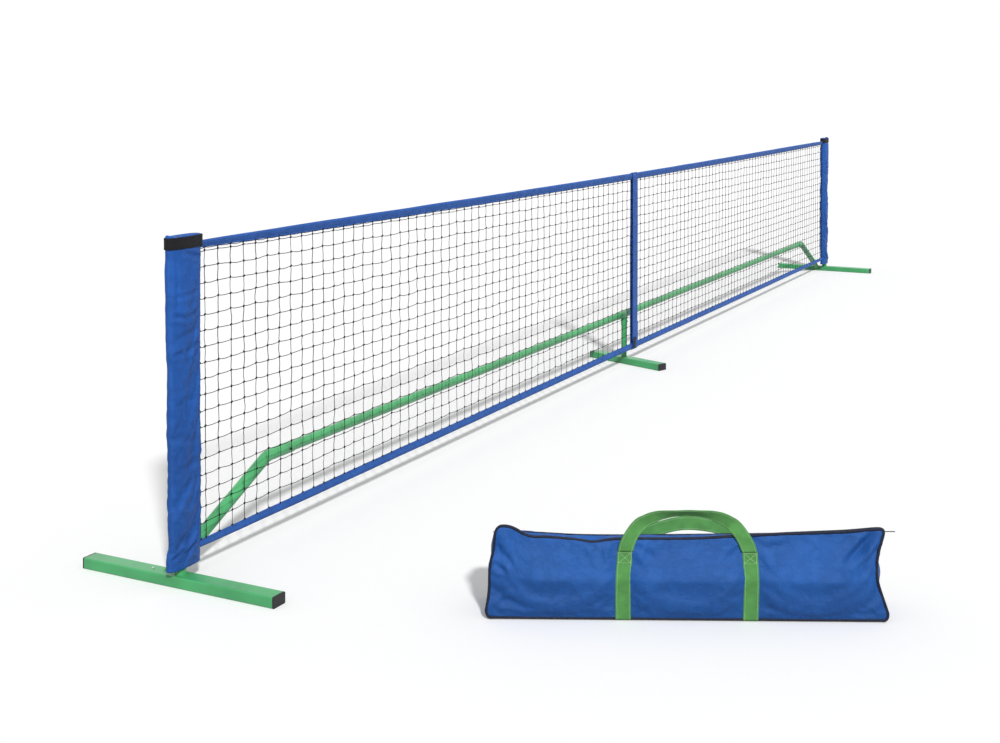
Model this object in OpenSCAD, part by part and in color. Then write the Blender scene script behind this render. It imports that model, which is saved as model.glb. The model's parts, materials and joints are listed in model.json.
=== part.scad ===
// Portable court net: a jointed tube stand with three T feet, a net with
// fabric sleeves over the end posts, and the carry bag that it packs into.
// Millimetres. +X runs along the net from the left post, +Y is the back of
// the stand, +Z is up. The origin is under the left post, on the floor.

/* [Net] */
// Distance between the two end posts, centre to centre
net_len = 6700; // [4000:50:8000]
// Height of the top tape's upper edge at the posts
net_top = 905; // [700:5:1100]
// How much lower the top tape is at the centre strap
net_sag = 20; // [0:1:60]
// Height of the bottom tape's lower edge
net_bottom = 72; // [60:1:150]
// Height of the top and bottom tapes
tape_h = 28; // [20:1:60]
// Thickness of the folded tapes
tape_t = 8; // [4:0.5:12]
// Thickness of the net's cords
cord_t = 3; // [2:0.5:4]
// Number of gaps along the net
gaps_long = 50; // [20:2:50]
// Number of gaps up the net
gaps_high = 6; // [3:1:6]

/* [Centre strap] */
// Width of the centre strap
strap_w = 60; // [30:1:90]
// Thickness of the strap's webbing
strap_t = 2.4; // [1.5:0.1:4]

/* [Sleeves] */
// Width of a sleeve along the net
sleeve_w = 128; // [100:1:180]
// Thickness of a sleeve across the net
sleeve_t = 54; // [46:1:58]
// Padded wall of a sleeve
sleeve_wall = 3; // [2:0.5:4]
// How far a sleeve's middle is inside its post
sleeve_in = 17; // [5:1:24]
// Height of a sleeve's lower hem above the floor
sleeve_bottom = 47; // [36:1:90]
// Height of the webbing band round a sleeve's top
band_h = 37; // [20:1:60]
// Thickness of the webbing band
band_t = 2.5; // [1.5:0.5:4]

/* [Posts] */
// Outer diameter of the post tubes
post_d = 30; // [24:1:34]
// Wall of the post tubes
post_wall = 1.5; // [1:0.1:2.5]
// Height at which the two halves of a post meet
post_joint = 460; // [300:5:600]
// Length that one tube reaches into the next
lap = 50; // [30:1:80]
// Thickness of the post cap's rim
post_cap_t = 5; // [3:0.5:8]

/* [Crossbar] */
// Height of the crossbar's centre line
bar_z = 228; // [150:1:300]
// How far the crossbar is behind the net
bar_back = 48; // [46:1:80]
// Outer diameter of the crossbar tubes
bar_d = 30; // [24:1:30]
// Wall of the crossbar tubes
bar_wall = 1.5; // [1:0.1:2.5]
// Outer diameter of the two braces
brace_d = 34; // [33.5:0.5:38]
// Distance along the net from a post to the brace's elbow
elbow_run = 436; // [300:5:700]
// Level length of a brace beyond its elbow
brace_end = 120; // [90:1:250]
// Slope of a brace below its elbow
brace_angle = 26; // [20:1:40]

/* [Feet] */
// Length of an end foot without its caps
foot_len = 622; // [400:2:800]
// Width of the rectangular foot tube
foot_w = 50; // [46:1:70]
// Height of the rectangular foot tube
foot_h = 30; // [25:1:40]
// Wall of the foot tube
foot_wall = 2; // [1.5:0.1:3]
// Outer corner radius of the foot tube
foot_corner = 4; // [3.5:0.5:8]
// How far an end foot's middle is behind its post
foot_back = 0; // [-40:1:40]
// Thickness of an end cap's outer plate
cap_t = 4; // [2:0.5:8]
// Depth of an end cap's plug
cap_plug = 18; // [10:1:30]
// Distance from a post to the spring button behind it on its foot
foot_button_back = 92; // [80:1:140]

/* [Centre stand] */
// How far the centre stand is to the left of the net's middle
mid_off = 180; // [0:5:300]
// Length of the centre foot without its caps
mid_foot_len = 420; // [300:2:600]
// How far the centre foot's middle is in front of its pivot
mid_foot_front = 20; // [0:1:60]
// Turn of the centre foot away from square to the net
mid_foot_yaw = -20; // [-45:1:45]
// Distance from the pivot to the centre foot's spring button
mid_button = 130; // [60:1:150]
// Outer diameter of the centre leg
leg_d = 25.4; // [22:0.1:26]
// Wall of the centre leg
leg_wall = 1.5; // [1:0.1:2]
// Length of the level sleeve of the tee
tee_len = 150; // [100:2:200]
// Length of the socket under the tee
tee_socket = 34; // [30:1:60]
// Wall of the tee
tee_wall = 1.7; // [1.2:0.1:2.5]
// Length of the pivot that stands on the centre foot
pivot_h = 60; // [30:1:100]

/* [Buttons and fits] */
// Radius of a spring button's shank
button_r = 4; // [2.5:0.1:4.5]
// How far a button stands out of its tube
button_out = 3.5; // [2:0.1:4]
// Radial clearance of a piece that turns or slides in a hole
run_gap = 0.08; // [0.05:0.01:0.1]
// Radial clearance of a tube pushed into another
tube_gap = 0.1; // [0.05:0.01:0.4]
// Clearance between a moving piece and what it rests on
rest_gap = 0.3; // [0.2:0.05:0.5]

/* [Bag] */
// Length of the bag
bag_len = 970; // [600:5:1300]
// Depth of the bag from front to back
bag_d = 150; // [120:1:260]
// Height of the bag's front edge
bag_front_h = 216; // [150:1:320]
// Height of the bag's back edge
bag_back_h = 160; // [120:1:300]
// Thickness of the bag's padded panels
panel_t = 6; // [3:0.5:8]
// Diameter of the piping along the bag's edges
piping_d = 7; // [4:0.5:10]
// Place of the bag's middle along the net
bag_x = 442; // [-400:1:3000]
// Place of the bag's middle across the net, in front of it below zero
bag_y = -1221; // [-3000:1:-900]
// Turn of the bag about the vertical
bag_yaw = -64; // [-90:1:90]

/* [Webbing and handles] */
// Width of the webbing
web_w = 38; // [25:1:50]
// Thickness of the webbing
web_t = 2.5; // [1.5:0.1:4]
// Distance between the two webbing bands, centre to centre
web_span = 315; // [200:5:500]
// Distance from a wall's upper edge down to where its handle leaves the webbing
handle_drop = 46; // [20:1:80]
// Rise of a handle above that height
handle_rise = 90; // [70:1:160]
// Width of a handle's band as it stands
handle_w = 26; // [18:1:38]

/* [Zip] */
// Width of the zip tape
zip_w = 30; // [20:1:40]
// Distance from the bag's front edge to the zip's middle
zip_in = 34; // [26:1:60]
// Width of the zip's teeth
teeth_w = 5; // [3:0.5:8]
// Height of the zip's teeth
teeth_h = 1.6; // [1:0.1:3]
// Length of the zip slider
slider_len = 20; // [14:1:30]
// Width of the zip slider
slider_w = 13; // [10:0.5:18]
// Length of the zip pull
pull_len = 42; // [25:1:60]
// Distance of the slider's outer end from the bag's end
slider_in = 6; // [4:1:30]

/* [Hidden] */
$fn = 48;
SIDES = ["left", "right"];
// Crossbar tubes on each side of the centre tee
bar_count = 3;

GREEN = "mediumseagreen";
WEB_GREEN = "yellowgreen";
BLUE = "royalblue";
BLACK = "#202226";
SILVER = "silver";

mid_x = net_len / 2 - mid_off;
bar_r = bar_d / 2;
brace_r = brace_d / 2;
brace_bore = bar_r + tube_gap;
brace_low_z = foot_h + brace_r + 1;
slope_len = (bar_z - brace_low_z) / sin(brace_angle);
brace_far = elbow_run + brace_end;
bar_in = brace_far - lap;
tee_r = bar_r + tube_gap + tee_wall;
tee_socket_r = leg_d / 2 + tube_gap + tee_wall;
leg_top = bar_z - bar_r - tube_gap - tee_wall;
leg_bore = leg_d / 2 - leg_wall;
swage_r = bar_r - bar_wall - tube_gap;
post_swage_r = post_d / 2 - post_wall - tube_gap;
button_rim = button_r + 1.4;
rim_t = 1.2;
sleeve_top = net_top + post_cap_t + sleeve_wall;
net_x0 = sleeve_in + sleeve_w / 2;
mesh_low = net_bottom + tape_h;
mesh_high = net_top - tape_h;

// Height of the mesh's upper edge at x: straight from the posts to the strap
function hang(x) =
    mesh_high - net_sag * (x < mid_x
        ? (x - net_x0) / (mid_x - net_x0)
        : (net_len - net_x0 - x) / (net_len - net_x0 - mid_x));

module side(name) {
    translate([name == "left" ? 0 : net_len, 0, 0])
        mirror([name == "left" ? 0 : 1, 0, 0]) children();
}

module tube(r, wall, h) {
    difference() {
        cylinder(r = r, h = h);
        translate([0, 0, -1]) cylinder(r = r - wall, h = h + 2);
    }
}

// A tube of length h that narrows to a tongue of radius tongue_r beyond it
module swaged_tube(r, wall, h, tongue_r) {
    neck = 4;
    difference() {
        union() {
            cylinder(r = r, h = h);
            cylinder(r = tongue_r, h = h + lap);
        }
        translate([0, 0, -1]) cylinder(r = r - wall, h = h - neck + 1);
        cylinder(r = tongue_r - wall, h = h + lap + 1);
    }
}

// ---- feet ----

// The foot's round-cornered outline, drawn in by `inset`, from y0 to y1
module foot_bar(inset, y0, y1) {
    w = foot_w - 2 * inset;
    h = foot_h - 2 * inset;
    r = foot_corner - min(inset, foot_wall);
    translate([0, y1, inset]) rotate([90, 0, 0]) linear_extrude(y1 - y0) {
        translate([r - w / 2, 0]) square([w - 2 * r, h]);
        translate([-w / 2, r]) square([w, h - 2 * r]);
        for (x = [r - w / 2, w / 2 - r], z = [r, h - r]) translate([x, z]) circle(r = r);
    }
}

module foot_tube(len) {
    difference() {
        foot_bar(0, -len / 2, len / 2);
        foot_bar(foot_wall, -len / 2 - 1, len / 2 + 1);
    }
}

module foot_cap(len, way) {
    translate([0, way * len / 2, 0]) mirror([0, way < 0 ? 1 : 0, 0]) color(BLACK) {
        foot_bar(0, 0, cap_t);
        foot_bar(foot_wall + tube_gap, -cap_plug, 1);
    }
}

// The corner of the brace's elbow, with Z turned down along its slope or level
module at_elbow(turn) {
    translate([elbow_run, bar_back, bar_z]) rotate([0, turn, 0]) children();
}

module end_foot() {
    brace_x = elbow_run - (bar_z - brace_low_z) / tan(brace_angle);
    spigot_back = (brace_x - foot_w / 4) / cos(brace_angle);
    color(GREEN) difference() {
        union() {
            translate([0, foot_back, 0]) foot_tube(foot_len);
            translate([0, 0, foot_h - foot_wall])
                cylinder(r = post_swage_r, h = lap + foot_wall);
            at_elbow(-90 - brace_angle) translate([0, 0, slope_len - lap])
                cylinder(r = brace_bore - tube_gap, h = lap + spigot_back);
        }
        translate([0, foot_button_back, foot_h - foot_wall - 1])
            cylinder(r = button_r + run_gap, h = foot_wall + 2);
    }
}

// A spring button with its rim under a flat wall whose outer face is at z = 0
module flat_button(wall) {
    color(SILVER) {
        translate([0, 0, -wall - rest_gap - rim_t]) cylinder(r = button_rim, h = rim_t);
        translate([0, 0, -wall - rest_gap - rim_t])
            cylinder(r = button_r, h = wall + rest_gap + rim_t + button_out / 2);
        translate([0, 0, button_out / 2])
            cylinder(r1 = button_r, r2 = button_r * 0.6, h = button_out / 2);
    }
}

// A spring button through round tubes, pointing along +Z from their axis
module tube_button(outer, inner) {
    rim_z = sqrt(pow(inner, 2) - pow(button_rim, 2)) - rest_gap;
    color(SILVER) {
        translate([0, 0, rim_z - rim_t]) cylinder(r = button_rim, h = rim_t);
        translate([0, 0, rim_z - rim_t])
            cylinder(r = button_r, h = outer + button_out / 2 - rim_z + rim_t);
        translate([0, 0, outer + button_out / 2])
            cylinder(r1 = button_r, r2 = button_r * 0.6, h = button_out / 2);
    }
}

// ---- posts ----

module post_lower() {
    color(GREEN) translate([0, 0, foot_h])
        tube(post_d / 2, post_wall, post_joint - foot_h);
}

module post_upper() {
    color(GREEN) translate([0, 0, net_top]) mirror([0, 0, 1])
        swaged_tube(post_d / 2, post_wall, net_top - post_joint, post_swage_r);
}

module post_cap() {
    color(BLACK) {
        translate([0, 0, net_top]) cylinder(r = post_d / 2, h = post_cap_t);
        translate([0, 0, net_top - cap_plug]) cylinder(r = post_swage_r, h = cap_plug + 1);
    }
}

// ---- braces and crossbar ----

// The brace's bent line at radius r, longer by `extra` at both ends
module brace_line(r, extra) {
    at_elbow(-90 - brace_angle) cylinder(r = r, h = slope_len + extra);
    at_elbow(0) sphere(r = r);
    at_elbow(90) cylinder(r = r, h = brace_end + extra);
}

module brace() {
    color(GREEN) difference() {
        brace_line(brace_r, 0);
        brace_line(brace_bore, 1);
        button_hole(brace_far - lap / 2);
    }
}

module button_hole(x) {
    translate([x, bar_back, bar_z]) rotate([90, 0, 0])
        cylinder(r = button_r + run_gap, h = brace_r + 2);
}

// One crossbar tube, from x0 to x1, with a swaged tongue beyond x1 if `tongue`
module bar_tube(x0, x1, tongue) {
    color(GREEN) difference() {
        translate([x0, bar_back, bar_z]) rotate([0, 90, 0]) {
            if (tongue) swaged_tube(bar_r, bar_wall, x1 - x0, swage_r);
            else tube(bar_r, bar_wall, x1 - x0);
        }
        button_hole(brace_far - lap / 2);
    }
}

module bar(name, k) {
    reach = (name == "left" ? mid_x : net_len - mid_x) - tee_len / 2 + lap;
    step = (reach - bar_in) / bar_count;
    side(name) bar_tube(bar_in + (k - 1) * step, bar_in + k * step, k < bar_count);
}

// ---- centre stand ----

module tee() {
    color(GREEN) difference() {
        union() {
            translate([mid_x - tee_len / 2, bar_back, bar_z]) rotate([0, 90, 0])
                cylinder(r = tee_r, h = tee_len);
            translate([mid_x, bar_back, leg_top - tee_socket])
                cylinder(r = tee_socket_r, h = bar_z - leg_top + tee_socket);
        }
        translate([mid_x - tee_len / 2 - 1, bar_back, bar_z]) rotate([0, 90, 0])
            cylinder(r = brace_bore, h = tee_len + 2);
        translate([mid_x, bar_back, leg_top - tee_socket - 1])
            cylinder(r = leg_d / 2 + tube_gap, h = tee_socket + 1 - rest_gap);
        leg_button_hole();
    }
}

module leg_button_hole() {
    translate([mid_x, bar_back, leg_top - tee_socket / 2]) rotate([90, 0, 0])
        cylinder(r = button_r + run_gap, h = tee_socket_r + 2);
}

module leg() {
    color(GREEN) difference() {
        translate([mid_x, bar_back, foot_h + rest_gap])
            tube(leg_d / 2, leg_wall, leg_top - foot_h - 2 * rest_gap);
        leg_button_hole();
    }
}

// The centre foot's own frame: pivot at the origin, foot along Y
module on_centre_foot() {
    translate([mid_x, bar_back, 0]) rotate([0, 0, mid_foot_yaw]) children();
}

module centre_foot() {
    color(GREEN) on_centre_foot() difference() {
        union() {
            translate([0, -mid_foot_front, 0]) foot_tube(mid_foot_len);
            translate([0, 0, foot_h - foot_wall])
                cylinder(r = leg_bore - run_gap, h = pivot_h + foot_wall);
        }
        translate([0, -mid_button, foot_h - foot_wall - 1])
            cylinder(r = button_r + run_gap, h = foot_wall + 2);
    }
}

// ---- net ----

// A flat outline in x and z, standing in the net's plane
module upright(t) {
    translate([0, t / 2, 0]) rotate([90, 0, 0]) linear_extrude(t) children();
}

module tape(low, part) {
    far = net_len - net_x0;
    color(BLUE) upright(tape_t) polygon([
        [net_x0, low], [mid_x, low - net_sag * part], [far, low],
        [far, low + tape_h], [mid_x, low + tape_h - net_sag * part],
        [net_x0, low + tape_h]]);
}

// Height of grid line j of the mesh at x
function mesh_z(x, j) =
    mesh_low + (hang(x) - mesh_low) * j / gaps_high;

module net_mesh() {
    far = net_len - net_x0;
    half = gaps_long / 2;
    h = cord_t / 2;
    grid_x = [for (i = [0:gaps_long])
        i < half ? net_x0 + (mid_x - net_x0) * i / half
                 : mid_x + (far - mid_x) * (i - half) / half];
    color(BLACK) upright(cord_t) difference() {
        polygon([[net_x0, mesh_low], [far, mesh_low], [far, mesh_high],
                 [mid_x, mesh_high - net_sag], [net_x0, mesh_high]]);
        for (i = [0:gaps_long - 1], j = [0:gaps_high - 1]) {
            x0 = grid_x[i] + (i == 0 ? cord_t : h);
            x1 = grid_x[i + 1] - (i == gaps_long - 1 ? cord_t : h);
            low = j == 0 ? cord_t : h;
            high = j == gaps_high - 1 ? cord_t : h;
            polygon([[x0, mesh_z(x0, j) + low], [x1, mesh_z(x1, j) + low],
                     [x1, mesh_z(x1, j + 1) - high], [x0, mesh_z(x0, j + 1) - high]]);
        }
    }
}

module centre_strap() {
    inner = tape_t / 2 + rest_gap;
    low = net_bottom - rest_gap;
    high = net_top - net_sag + rest_gap + net_sag * strap_w / net_len;
    color(BLUE) translate([mid_x - strap_w / 2, 0, 0])
        rotate([90, 0, 90]) linear_extrude(strap_w) difference() {
            translate([-inner - strap_t, low - strap_t])
                square([2 * (inner + strap_t), high - low + 2 * strap_t]);
            translate([-inner, low]) square([2 * inner, high - low]);
        }
}

// Flat-sided oval with round ends, grown by `grow` all round
module oval(grow) {
    r = sleeve_t / 2 + grow;
    straight = sleeve_w / 2 - sleeve_t / 2;
    translate([sleeve_in, 0]) {
        translate([-straight, -r]) square([2 * straight, 2 * r]);
        for (way = [-1, 1]) translate([way * straight, 0]) circle(r = r);
    }
}

module sleeve() {
    color(BLUE) difference() {
        translate([0, 0, sleeve_bottom]) linear_extrude(sleeve_top - sleeve_bottom) oval(0);
        translate([0, 0, sleeve_bottom - 1])
            linear_extrude(sleeve_top - sleeve_wall - sleeve_bottom + 1) oval(-sleeve_wall);
    }
}

// The band is open where the net's top tape leaves the sleeve
module band() {
    color(BLACK) translate([0, 0, sleeve_top - band_h]) difference() {
        linear_extrude(band_h) oval(band_t);
        translate([0, 0, -1]) linear_extrude(band_h + 2) oval(0);
        translate([sleeve_in, -tape_t / 2 - rest_gap, -1])
            cube([sleeve_w, tape_t + 2 * rest_gap, net_top + rest_gap + 1 - sleeve_top + band_h]);
    }
}

// ---- bag ----

bag_low = web_t;
bag_hl = bag_len / 2;
bag_hd = bag_d / 2;
piping_r = piping_d / 2;
top_slope = (bag_back_h - bag_front_h) / bag_d;
zip_y = zip_in - bag_hd;
slider_x = bag_hl - slider_in - slider_len / 2;
pull_pin_r = 1.1;
slider_t = 3;
pull_t = 2;
pull_eye = pull_pin_r + 1.6;
slider_top = rest_gap + teeth_h + slider_t;
pin_z = slider_top + rest_gap + pull_eye;

// Height of the bag's sloping top at depth y
function top_z(y) = bag_low + bag_front_h + (y + bag_hd) * top_slope;

module on_bag() {
    translate([bag_x, bag_y, 0]) rotate([0, 0, bag_yaw]) children();
}

// A profile in depth and height, extruded along the bag from x0 to x1
module along_bag(x0, x1) {
    on_bag() translate([x0, 0, 0]) rotate([90, 0, 90]) linear_extrude(x1 - x0) children();
}

module bag_wall(way, h) {
    color(BLUE) along_bag(piping_d - bag_hl, bag_hl - piping_d)
        translate([way < 0 ? -bag_hd : bag_hd - panel_t, bag_low + piping_d])
            square([panel_t, h - 2 * piping_d]);
}

module bag_base() {
    color(BLUE) along_bag(-bag_hl, bag_hl) translate([piping_d - bag_hd, bag_low])
        square([bag_d - 2 * piping_d, panel_t]);
}

module bag_end(way) {
    y = bag_hd - piping_d;
    x0 = way < 0 ? -bag_hl : bag_hl - panel_t;
    color(BLUE) along_bag(x0, x0 + panel_t)
        polygon([[-y, bag_low + panel_t], [y, bag_low + panel_t],
                 [y, top_z(y) - panel_t], [-y, top_z(-y) - panel_t]]);
}

module bag_top(y0, y1, t) {
    along_bag(-bag_hl, bag_hl) polygon([
        [y0, top_z(y0) - t], [y1, top_z(y1) - t], [y1, top_z(y1)], [y0, top_z(y0)]]);
}

module piping(way, h) {
    x = bag_hl - piping_r;
    low = bag_low + piping_r;
    high = bag_low + h - piping_r;
    color(BLACK) on_bag() translate([0, way * (bag_hd - piping_r), 0]) {
        for (z = [low, high]) translate([-x, 0, z]) rotate([0, 90, 0])
            cylinder(r = piping_r, h = 2 * x);
        for (end = [-x, x]) translate([end, 0, low]) cylinder(r = piping_r, h = high - low);
        for (end = [-x, x], z = [low, high]) translate([end, 0, z]) sphere(r = piping_r);
    }
}

// The zip's own frame: X along the bag, Z square to the sloping top
module on_zip(x) {
    on_bag() translate([x, zip_y, top_z(zip_y)]) rotate([atan(top_slope), 0, 0]) children();
}

module zip_tape() {
    y0 = zip_y - zip_w / 2;
    color(BLACK) {
        bag_top(y0, y0 + zip_w, web_t);
        on_zip(-bag_hl) translate([0, -teeth_w / 2, -1]) cube([bag_len, teeth_w, teeth_h + 1]);
    }
}

module zip_slider() {
    groove = teeth_w + 4 * rest_gap;
    cheek_t = 2;
    cheek_w = 2 * (pull_pin_r + 1);
    color(SILVER) on_zip(slider_x) {
        difference() {
            translate([-slider_len / 2, -slider_w / 2, rest_gap])
                cube([slider_len, slider_w, slider_top - rest_gap]);
            translate([-slider_len, -groove / 2, 0])
                cube([2 * slider_len, groove, teeth_h + 2 * rest_gap]);
        }
        for (y = [-slider_w / 2, slider_w / 2 - cheek_t])
            translate([-cheek_w / 2, y, slider_top - 1])
                cube([cheek_w, cheek_t, pin_z - slider_top + 1 + cheek_w / 2]);
        translate([0, slider_w / 2, pin_z]) rotate([90, 0, 0])
            cylinder(r = pull_pin_r, h = slider_w);
    }
}

// The pull turns on the slider's pin and lies outward over the bag's end
module zip_pull() {
    width = slider_w - 4 - 4 * rest_gap;
    color(SILVER) on_zip(slider_x) translate([0, 0, pin_z]) difference() {
        union() {
            translate([0, width / 2, 0]) rotate([90, 0, 0]) cylinder(r = pull_eye, h = width);
            translate([0, -width / 2, -pull_eye]) cube([pull_len, width, pull_t]);
        }
        translate([0, width, 0]) rotate([90, 0, 0])
            cylinder(r = pull_pin_r + run_gap, h = 2 * width);
    }
}

// Height at which the handle leaves its webbing on a wall of height h
function handle_z(h) = bag_low + h - handle_drop;

// A webbing band up the front, under the base and up the back
module webbing(way) {
    x = way * web_span / 2 - web_w / 2;
    color(WEB_GREEN) along_bag(x, x + web_w) {
        translate([-bag_hd - web_t, 0]) square([bag_d + 2 * web_t, web_t]);
        translate([-bag_hd - web_t, 0])
            square([web_t, handle_z(bag_front_h) - rest_gap]);
        translate([bag_hd, 0]) square([web_t, handle_z(bag_back_h) - rest_gap]);
    }
}

// Flat handle: a rounded hoop, wider than it is high, rising from its two ends
module hoop() {
    linear_extrude(web_t) difference() {
        hoop_outline(web_span / 2 + handle_w / 2, handle_rise);
        hoop_outline(web_span / 2 - handle_w / 2, handle_rise - handle_w);
    }
}

module hoop_outline(half, rise) {
    squareness = 0.75;
    polygon([for (a = [0:7.5:180])
        [half * sign(cos(a)) * pow(abs(cos(a)), squareness),
         rise * pow(abs(sin(a)), squareness)]]);
}

// Stands up outside the bag's front or back wall, of height h
module handle(way, h) {
    color(WEB_GREEN) on_bag() mirror([0, way < 0 ? 0 : 1, 0])
        translate([0, -bag_hd - web_t - rest_gap, handle_z(h)])
            rotate([90, 0, 0]) hoop();
}

for (s = SIDES) {
    side(s) end_foot();
    side(s) translate([0, foot_back, 0]) foot_cap(foot_len, -1);
    side(s) translate([0, foot_back, 0]) foot_cap(foot_len, 1);
    side(s) translate([0, foot_button_back, foot_h]) flat_button(foot_wall);
    side(s) post_lower();
    side(s) post_upper();
    side(s) post_cap();
    side(s) brace();
    side(s) translate([brace_far - lap / 2, bar_back, bar_z]) rotate([90, 0, 0])
            tube_button(brace_r, bar_r - bar_wall);
    for (k = [1:bar_count])
        bar(s, k);
    side(s) sleeve();
    side(s) band();
}
tee();
leg();
translate([mid_x, bar_back, leg_top - tee_socket / 2]) rotate([90, 0, 0])  // leg_button
        tube_button(tee_socket_r, leg_bore);
centre_foot();
on_centre_foot() translate([0, -mid_foot_front, 0]) foot_cap(mid_foot_len, -1);  // centre_foot_cap_front
on_centre_foot() translate([0, -mid_foot_front, 0]) foot_cap(mid_foot_len, 1);  // centre_foot_cap_back
on_centre_foot() translate([0, -mid_button, foot_h]) flat_button(foot_wall);  // centre_foot_button
net_mesh();
tape(mesh_high, 1);  // top_tape
tape(net_bottom, 0);  // bottom_tape
centre_strap();
bag_wall(-1, bag_front_h);  // bag_front
bag_wall(1, bag_back_h);  // bag_back
bag_base();
bag_end(-1);  // bag_end_left
bag_end(1);  // bag_end_right
color(BLUE) bag_top(piping_d - bag_hd, zip_y - zip_w / 2, panel_t);  // bag_top_front
color(BLUE) bag_top(zip_y + zip_w / 2, bag_hd - piping_d, panel_t);  // bag_top_back
piping(-1, bag_front_h);  // piping_front
piping(1, bag_back_h);  // piping_back
zip_tape();
zip_slider();
zip_pull();
webbing(-1);  // webbing_left
webbing(1);  // webbing_right
handle(-1, bag_front_h);  // handle_front
handle(1, bag_back_h);  // handle_back
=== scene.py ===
import json
import math

import bmesh
import bpy
import numpy as np
from bpy.props import (
    FloatProperty,
    FloatVectorProperty,
    IntProperty,
    PointerProperty,
)
from mathutils import Matrix, Vector, noise


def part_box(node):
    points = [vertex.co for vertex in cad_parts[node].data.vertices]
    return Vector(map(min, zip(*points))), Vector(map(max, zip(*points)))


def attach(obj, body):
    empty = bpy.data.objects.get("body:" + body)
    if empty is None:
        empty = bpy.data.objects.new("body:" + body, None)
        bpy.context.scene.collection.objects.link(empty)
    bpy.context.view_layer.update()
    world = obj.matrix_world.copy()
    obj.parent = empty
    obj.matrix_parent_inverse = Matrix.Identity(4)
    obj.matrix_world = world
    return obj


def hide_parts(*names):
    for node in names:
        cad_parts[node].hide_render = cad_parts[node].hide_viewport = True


bl_info = {
    "name": "Portable Court Net",
    "version": (1, 0, 0),
    "blender": (4, 5, 0),
    "location": "View3D > Sidebar > Court Net",
    "description": "Dresses the frame of a portable court net and its carry bag",
    "category": "Object",
}

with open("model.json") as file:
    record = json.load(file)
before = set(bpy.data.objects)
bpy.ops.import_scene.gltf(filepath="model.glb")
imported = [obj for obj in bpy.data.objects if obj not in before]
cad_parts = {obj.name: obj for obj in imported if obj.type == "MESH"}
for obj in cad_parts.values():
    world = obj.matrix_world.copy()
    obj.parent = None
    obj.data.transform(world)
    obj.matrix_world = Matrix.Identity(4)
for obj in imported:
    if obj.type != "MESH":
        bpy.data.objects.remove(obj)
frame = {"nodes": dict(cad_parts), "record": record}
RECORD = frame["record"]
JOINTS = {j["name"]: j for j in RECORD["behaviour"]["joints"]}
SLOTS = {s["node"]: s["material_slot"] for s in RECORD["subparts"]}
TAU = 2 * math.pi
MM = 0.001

# sizes that no setting changes, in metres
WEB = 0.0025  # thickness of the webbing
SEAM = 0.004  # a seam's place, in from a strap's edge
TAPE = 0.028  # height of a folded tape
GATHER = 0.35  # reach of the net's gather from its ends
DROOP = 0.008  # how much lower the top tape hangs by the posts
HEM = 0.021  # height of a sleeve's hem
POST_ROOM = 0.0178  # room for the post inside a sleeve


# ---- places taken from the frame ----


def span(node):
    """The lowest and highest corner of a node, as two arrays in metres."""
    low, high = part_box(node)
    return np.array(low), np.array(high)


def bag_matrix():
    """The bag's own frame: X along it, Y from front to back, Z up from the floor."""
    front = Vector(JOINTS["handle_front_flop"]["pos_m"])
    back = Vector(JOINTS["handle_back_flop"]["pos_m"])
    along = Vector(JOINTS["handle_front_flop"]["axis"]).normalized()
    middle = (front + back) / 2
    turn = math.atan2(along.y, along.x)
    return Matrix.Translation((middle.x, middle.y, 0)) @ Matrix.Rotation(turn, 4, "Z")


BAG = bag_matrix()
BAG_ARRAY = np.array(BAG)


def moved(points, matrix):
    return np.asarray(points, float) @ matrix[:3, :3].T + matrix[:3, 3]


def from_bag(points):
    """Points in the bag's own frame, from where the bag stands."""
    return moved(points, np.array(BAG.inverted()))


def to_bag(points):
    """Points of the bag's own frame, moved to where the bag stands."""
    return moved(points, BAG_ARRAY)


def bag_span(node):
    """The corners of a node in the bag's own frame."""
    points = from_bag([v.co for v in frame["nodes"][node].data.vertices])
    return points.min(0), points.max(0)


# ---- sizes and colours that a user would change ----


def number(name, text, value, **kind):
    return FloatProperty(name=name, description=text, default=value, **kind)


def length(name, text, value):
    return number(name, text, value, min=0, max=10, subtype="DISTANCE", unit="LENGTH",
                  precision=4)


def colour(name, text, value):
    return FloatVectorProperty(name=name, description=text, default=value, min=0, max=1,
                               size=3, subtype="COLOR")


class CourtNetColours(bpy.types.PropertyGroup):
    paint: colour("Paint", "Powder coat of the tubes", (0.063, 0.40, 0.140))
    sleeve: colour("Sleeves", "Coated cloth of the post sleeves", (0.0135, 0.100, 0.41))
    tape: colour("Tapes", "Folded tapes of the net", (0.026, 0.110, 0.41))
    bag: colour("Bag", "Cloth of the carry bag", (0.014, 0.099, 0.37))
    webbing: colour("Webbing", "Webbing and handles of the bag", (0.108, 0.340, 0.092))
    thread: colour("Thread", "Thread of the webbing's seams", (0.46, 0.74, 0.40))
    black: colour("Black", "Bands, cords, caps and zip", (0.010, 0.010, 0.013))


class CourtNetNet(bpy.types.PropertyGroup):
    flat: number("Flatness", "Depth of the sleeves, as a share of their room", 0.70,
                 min=0.6, max=1, subtype="FACTOR")


class CourtNetMesh(bpy.types.PropertyGroup):
    pitch: length("Pitch along", "Width of one gap of the mesh", 0.055)
    rise: length("Pitch up", "Height of one gap of the mesh", 0.0425)
    cord: length("Cord", "Diameter of the mesh's cord", 0.0021)
    knot: length("Knot", "Size of a knot", 0.0034)
    wander: length("Wander", "How far a knot strays from its grid", 0.0024)
    slack: length("Slack", "Sag of a cord between two knots", 0.0016)
    seed: IntProperty(name="Seed", description="Seed of the knots' places", default=4)


class CourtNetStand(bpy.types.PropertyGroup):
    slope: number("Slope", "Slope of a brace below its elbow", math.radians(26),
                  subtype="ANGLE")
    bend: length("Bend", "Radius of a brace's bend", 0.075)


class CourtNetBag(bpy.types.PropertyGroup):
    bulge: length("Bulge", "Swell of the bag's walls between its webbing", 0.016)
    piping: length("Piping", "Radius of the piped edges", 0.0036)
    tooth: length("Tooth", "Distance between the zip's teeth", 0.0026)
    stitch: length("Stitch", "Distance between stitches", 0.0042)


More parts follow.
